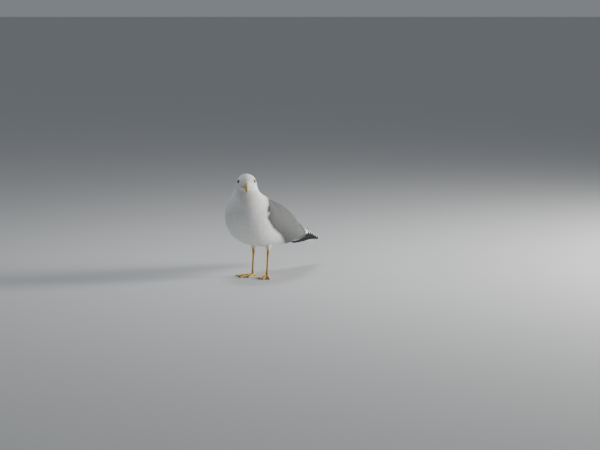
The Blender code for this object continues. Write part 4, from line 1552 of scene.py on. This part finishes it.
@dataclass(frozen=True)
class Bill:
    """Both halves of the bill: a hooked upper half with slit nostrils, and a lower half with its angle."""

    front_y: float = -0.1114
    length: float = 0.0545
    lower_length: float = 0.0470
    culmen_z: float = 0.2817
    tomium_z: float = 0.2712
    chin_z: float = 0.2631
    half_width: float = 0.0076
    culmen_bends: float = 0.50
    hook_drop: float = 0.0152
    hook_starts: float = 0.88
    gap: float = 0.0003
    gape_stations: tuple[float, float] = (20.05, 17.0)

    def tomium(self, y: Array) -> Array:
        """Height of the line where the halves meet; it falls toward the tip, and droops at the gape."""
        share = np.clip((self.front_y - y) / self.length, 0, 1)
        return self.tomium_z - 0.0035 * share - 0.0012 * np.clip((y - self.front_y) / 0.004, 0, 1)

    def upper(self, f: Array) -> Profile:
        """The upper half at f, from its root (0) to its tip (1)."""
        y = self.front_y - self.length * f
        g = np.clip(f, 0, 1)
        bend = np.clip((g - self.culmen_bends) / (1 - self.culmen_bends), 0, 1)
        ridge = self.culmen_z - 0.0010 * g - self.hook_drop * (1 - np.sqrt(1 - 0.97 * bend**2))
        hook = np.clip((g - self.hook_starts) / (1 - self.hook_starts), 0, 1)
        edge = self.tomium(y) + self.gap / 2 - 0.0030 * hook**0.8
        return y, ridge, edge, self.half_width * (1 - 0.62 * g**1.3) - 0.0014 * g**9

    def lower(self, f: Array) -> Profile:
        """The same for the lower half; its keel bulges at the angle, two thirds of the way out."""
        y = self.front_y - self.lower_length * f
        g = np.clip(f, 0, 1)
        keel = self.chin_z - 0.0050 * hump(g, 0.68, 0.22) + 0.0022 * g**6
        return y, keel, self.tomium(y) - self.gap / 2, (self.half_width - 0.0004) * (1 - 0.62 * g**1.5)

    def half(self, profile: Callable[[Array], Profile], sheet: Sheet, upper: bool) -> None:
        """Adds one half.

        Its sections are half width x cos q and edge + (ridge - edge) x sin q to the power 0.92; the insides
        are flat.

        Args:
            profile: the half's sizes at f.
            sheet: what it is added to.
            upper: whether it has nostrils, or the red spot.
        """
        f = np.linspace(-0.07, 1, 60)[:, None]
        q = np.linspace(0, math.pi, 30)[None]
        y, ridge, edge, width = profile(f)
        arc = np.sin(q) ** 0.92
        across = width * np.cos(q)
        slit = spot = 0 * across
        if upper:
            # the nostril: a shallow dent; its near black colour, carried by slit, is painted shade
            slit = hump(f, 0.34, 0.075, 4) * hump(arc, 0.50, 0.085, 4)
            groove = hump(f, 0.26, 0.20, 4) * hump(arc, 0.52, 0.22)
            across = across * (1 - 0.13 * slit - 0.05 * groove)
        else:
            spot = hump(f, 0.70, 0.15) * hump(arc, 0.62, 0.40)
        rings = np.stack([*together(across, y, edge + (ridge - edge) * arc)], -1)
        points, quads = closed_rings(FORM.turned(rings, FORM.head_turn))

        def spread(values: Array) -> Array:
            """The values with the end rows repeated for the caps."""
            return np.pad(np.broadcast_to(values, across.shape), ((1, 1), (0, 0)), mode="edge").ravel()

        near_edge = hump(arc, 0, 0.10) * (f < 0.97)
        sheet.add(points, quads, along=spread(np.clip(f, 0, 1)), spot=spread(spot), slit=spread(slit),
                  edge=spread(near_edge))

    def gape(self, sheet: Sheet) -> None:
        """The corner of the mouth: a low bare fold behind each cutting edge, with a dark line of painted
        shade along the mouth's crease.
        """
        s = np.linspace(0, 1, 24)
        station = self.gape_stations[0] + (self.gape_stations[1] - self.gape_stations[0]) * s
        swell = 0.0008 * hump(s, 0, 0.25)
        taper = np.sqrt(np.clip(1 - s**2, 0.02, 1))
        # painted shade: the fold grows darker toward the rear of the mouth
        painted_shade_ramp = 0.75 * ease(np.repeat(np.concatenate([s[:1], s, s[-1:]]), 12) / 0.5)
        for side in Side:
            off_top = side.value * np.radians(99 + 29 * s**0.8)
            # the upper, thinner tube is the near black line of painted shade in the mouth's crease
            for lift, radius, dark in ((0.0001, 0.00045 + swell, 0.0), (0.0004 + 0.8 * swell, 0.00058, 0.92)):
                path = Surface(FORM.body).lifted(station, off_top, lift + 0 * s)
                rings = tube(path, radius * taper, 12)
                sheet.add(*closed_rings(rings), along=0.2, slit=np.maximum(dark, painted_shade_ramp), edge=0.35)

    def build(self) -> None:
        """Makes both halves."""
        horn = BillHorn("bill_horn", horn=(0.60, 0.38, 0.045), spot=(0.52, 0.030, 0.012),
                        pale=(0.56, 0.43, 0.14), dark=(0.26, 0.15, 0.035)).build()
        upper, lower = Sheet(), Sheet()
        self.half(self.upper, upper, True)
        self.gape(upper)
        self.half(self.lower, lower, False)
        upper.build("upper_bill", horn, "bill_horn", ("bill_upper",))
        lower.build("lower_bill", horn, "bill_horn", ("bill_lower",))


# ------------------------------------------------------------------ legs
@dataclass(frozen=True)
class Leg:
    """One bare leg: shank with its ankle, three webbed toes, the hind toe and the claws."""

    side: Side
    apart: float = 0.025
    shank: Array = field(default_factory=lambda: np.array([
        [0.0010, 0.0050, 0.0850, 0.0035],
        [0.0010, 0.0050, 0.0815, 0.0036],
        [0.0008, 0.0052, 0.0775, 0.0040],
        [0.0004, 0.0055, 0.0730, 0.0049],
        [0.0001, 0.0050, 0.0685, 0.0043],
        [0.0000, 0.0040, 0.0600, 0.0034],
        [0.0000, 0.0022, 0.0420, 0.0031],
        [0.0000, 0.0008, 0.0240, 0.0033],
        [0.0000, 0.0000, 0.0140, 0.0040],
        [0.0000, 0.0000, 0.0080, 0.0043],
        [0.0000, -0.0004, 0.0038, 0.0040],
    ]))
    lengths: tuple[float, float, float] = (0.038, 0.048, 0.046)
    hind_toe: tuple[float, float] = (200, 0.009)
    web_scallop: float = 0.80
    claw_length: float = 0.0068
    claw_radius: float = 0.0015
    floor_gap: float = 0.00004

    @property
    def angles(self) -> tuple[float, float, float]:
        """Degrees outward of the inner, middle and outer toe."""
        return (-4, 18, 41) if self.side is Side.LEFT else (-12, 16, 44)

    def ahead(self, degrees: float) -> Array:
        """The level direction of a toe."""
        angle = math.radians(degrees)
        return np.array([self.side.value * math.sin(angle), -math.cos(angle), 0.0])

    def run(self, degrees: float, reach: Array, height: Array) -> Array:
        """Points out along a toe at those distances from the leg, at those heights."""
        path = np.outer(reach, self.ahead(degrees))
        path[:, 0] += self.side.value * self.apart
        path[:, 2] = height
        return path

    def stem(self) -> Array:
        """Rings of the shank: the radius swells at the ankle, with low cross plates down the front."""
        w = np.linspace(0, len(self.shank) - 1, 170)
        row = through(self.shank, w)
        path = np.stack([self.side.value * (self.apart + row[:, 0]), row[:, 1], row[:, 2]], -1)
        middle = path[:, None]
        off = tube(path, row[:, 3], 28) - middle
        front = np.clip(-off[..., 1:2] / np.maximum(row[:, None, 3:4], 1e-6), 0, 1) ** 1.5
        plates = np.abs(np.sin(row[:, 2] * math.pi / 0.0034))[:, None, None] ** 0.5
        flat = 1 - 0.10 * np.abs(np.sin(full_turn(28)))[None, :, None]
        return middle + off * (flat + front * (0.075 * plates - 0.045))

    def toe(self, degrees: float, length: float) -> Array:
        """Rings of a toe: thicker at each joint, with cross plates on top and flat underneath."""
        s = np.linspace(0, 1, 84)
        joints = 0.00045 * hump(s[:, None], np.array([0.36, 0.68, 0.97]), 0.055).sum(1)
        radius = 0.0034 - 0.0010 * s + joints
        path = self.run(degrees, s * length, radius * 0.80 + 0.0016 * (1 - s) ** 3)
        off = tube(path, radius, 20) - path[:, None]
        top = np.clip(off[..., 2:3] / radius[:, None, None], 0, 1)
        plates = np.abs(np.sin(s * length * math.pi / 0.0021))[:, None, None] ** 0.5
        rings = path[:, None] + off * (1 + top * (0.10 * plates - 0.07))
        rings[..., 2] = np.maximum(rings[..., 2], self.floor_gap)
        return rings

    def web(self, first: int) -> tuple[Array, Array]:
        """The skin between two toes, hollowed at its free edge and sagging between them.

        At q across the web the place is toe one + (toe two - toe one) x q, its reach shortened by the
        scallop. Its height dips by sin(pi q), with a few folds that fan out from the leg.
        """
        q = np.linspace(0, 1, 25)[None]
        r = np.linspace(0.05, 1, 30)[:, None]
        tips = [self.ahead(self.angles[k]) * self.lengths[k] * 0.95 for k in (first, first + 1)]
        reach = 1 - (1 - self.web_scallop) * np.sin(math.pi * q) * r
        flat = (tips[0] + q[..., None] * (tips[1] - tips[0])) * (r * reach)[..., None]
        x, y = flat[..., 0] + self.side.value * self.apart, flat[..., 1]
        dip = np.sin(math.pi * q) * (0.3 + 0.7 * r)
        fold = 0.00016 * np.sin(q * 8 * math.pi) * r * np.sin(math.pi * q)
        z = 0.0019 * (1 - 0.45 * dip) + 0.0014 * (1 - r) ** 2 + fold
        return slab(*(np.stack([x, y, height], -1) for height in (z, np.maximum(z - 0.0009, 0.0001))))

    def claw(self, degrees: float, length: float) -> Array:
        """Rings of a curved claw that narrows to a blunt point."""
        s = np.linspace(0, 1, 16)
        reach = length - 0.0012 + (self.claw_length + 0.0015) * s
        path = self.run(degrees, reach, 0.0026 + 0.0010 * np.sin(math.pi * s) - 0.0018 * s**2)
        return tube(path, self.claw_radius * (1 - 0.80 * s**1.3), 12, 1.15)

    def build(self, skin: bpy.types.Material, horn: bpy.types.Material) -> None:
        """Makes the leg's skin and its claws."""
        word = self.side.word
        stem, foot, claws = Sheet(), Sheet(), Sheet()
        stem.add(*closed_rings(self.stem()))
        toes = list(zip(self.angles, self.lengths))
        for toe in (*toes, self.hind_toe):
            foot.add(*closed_rings(self.toe(*toe)))
        for first in (0, 1):
            foot.add(*self.web(first))
        for toe in toes:
            claws.add(*closed_rings(self.claw(*toe)))
        stem.build(f"shank_skin_{word}", skin, "leg_skin", (f"shank_{word}",))
        foot.build(f"foot_skin_{word}", skin, "leg_skin", (f"foot_{word}",))
        nodes = tuple(f"claw_{toe}_{word}" for toe in ("inner", "middle", "outer"))
        claws.build(f"claws_{word}", horn, "claw_horn", nodes)


# ------------------------------------------------------------------ studio
@dataclass(frozen=True)
class Studio:
    """A pale floor, soft lights and the camera."""

    camera_place: tuple[float, float, float] = (2.806, -4.2371, 0.787)
    camera_turn: tuple[float, float, float] = (82.77, 0.0, 32.68)
    lens: float = 105.0
    sensor_width: float = 36.0
    sky: Colour = (0.80, 0.86, 0.93)
    sky_strength: float = 0.26
    floor_half: float = 150.0
    aim_height: float = 0.15
    # name, place, size, watts, colour
    lamps: tuple[tuple, ...] = (
        ("key", (2.1, 1.55, 0.75), 0.9, 140, (1.0, 0.985, 0.94)),
        ("top", (-0.3, 0.1, 1.7), 0.6, 9, (0.90, 0.95, 1.0)),
        ("fill", (-1.8, -1.6, 1.5), 2.2, 2.5, (0.86, 0.93, 1.0)),
        ("front", (2.2, -2.4, 1.1), 1.8, 1.2, (1.0, 0.98, 0.95)),
    )

    def light(self, name: str, place: tuple[float, float, float], size: float, power: float,
              colour: Colour) -> None:
        """A square area light that faces the middle of the bird.

        Args:
            name: its name.
            place: where it stands.
            size: length of its side.
            power: watts.
            colour: its colour.
        """
        data = bpy.data.lights.new(name, "AREA")
        data.size = size
        data.energy = power
        data.color = colour
        lamp = bpy.data.objects.new(name, data)
        lamp.location = place
        away = np.array(place) - (0, 0, self.aim_height)
        tilt = math.acos(away[2] / np.linalg.norm(away))
        lamp.rotation_euler = (tilt, 0, math.atan2(away[1], away[0]) + math.pi / 2)
        bpy.context.scene.collection.objects.link(lamp)

    def build(self) -> None:
        """Makes floor, world, lights and camera."""
        scene = bpy.context.scene
        world = bpy.data.worlds.new("studio")
        world.use_nodes = True
        background = world.node_tree.nodes["Background"]
        background.inputs["Color"].default_value = (*self.sky, 1)
        background.inputs["Strength"].default_value = self.sky_strength
        scene.world = world
        half = self.floor_half
        mesh = bpy.data.meshes.new("floor")
        corners = [(-half, -half, 0), (half, -half, 0), (half, half, 0), (-half, half, 0)]
        mesh.from_pydata(corners, [], [(0, 1, 2, 3)])
        mesh.materials.append(StudioFloor().build())
        floor = bpy.data.objects.new("floor", mesh)
        scene.collection.objects.link(floor)
        for lamp in self.lamps:
            self.light(*lamp)
        data = bpy.data.cameras.new("camera")
        data.lens = self.lens
        data.sensor_width = self.sensor_width
        data.clip_end = 100
        camera = bpy.data.objects.new("camera", data)
        camera.location = self.camera_place
        camera.rotation_euler = Euler([math.radians(a) for a in self.camera_turn])
        scene.collection.objects.link(camera)
        scene.camera = camera


def main() -> None:
    """Builds the bird piece by piece, then the studio round it."""
    logging.basicConfig(level=logging.INFO, format="%(message)s")
    Skin().build()
    BodyCoat().build()
    Mantle().build()
    Wings().build()
    Primaries().build()
    Tail().build()
    Bill().build()
    EYES.build()
    leg_skin = BareSkin("leg_skin", (0.60, 0.37, 0.07), (0.22, 0.12, 0.03)).build()
    claw_horn = Horn("claw_horn", (0.035, 0.028, 0.022)).build()
    for side in Side:
        Leg(side).build(leg_skin, claw_horn)
    Studio().build()


if __name__ == "__main__":
    main()
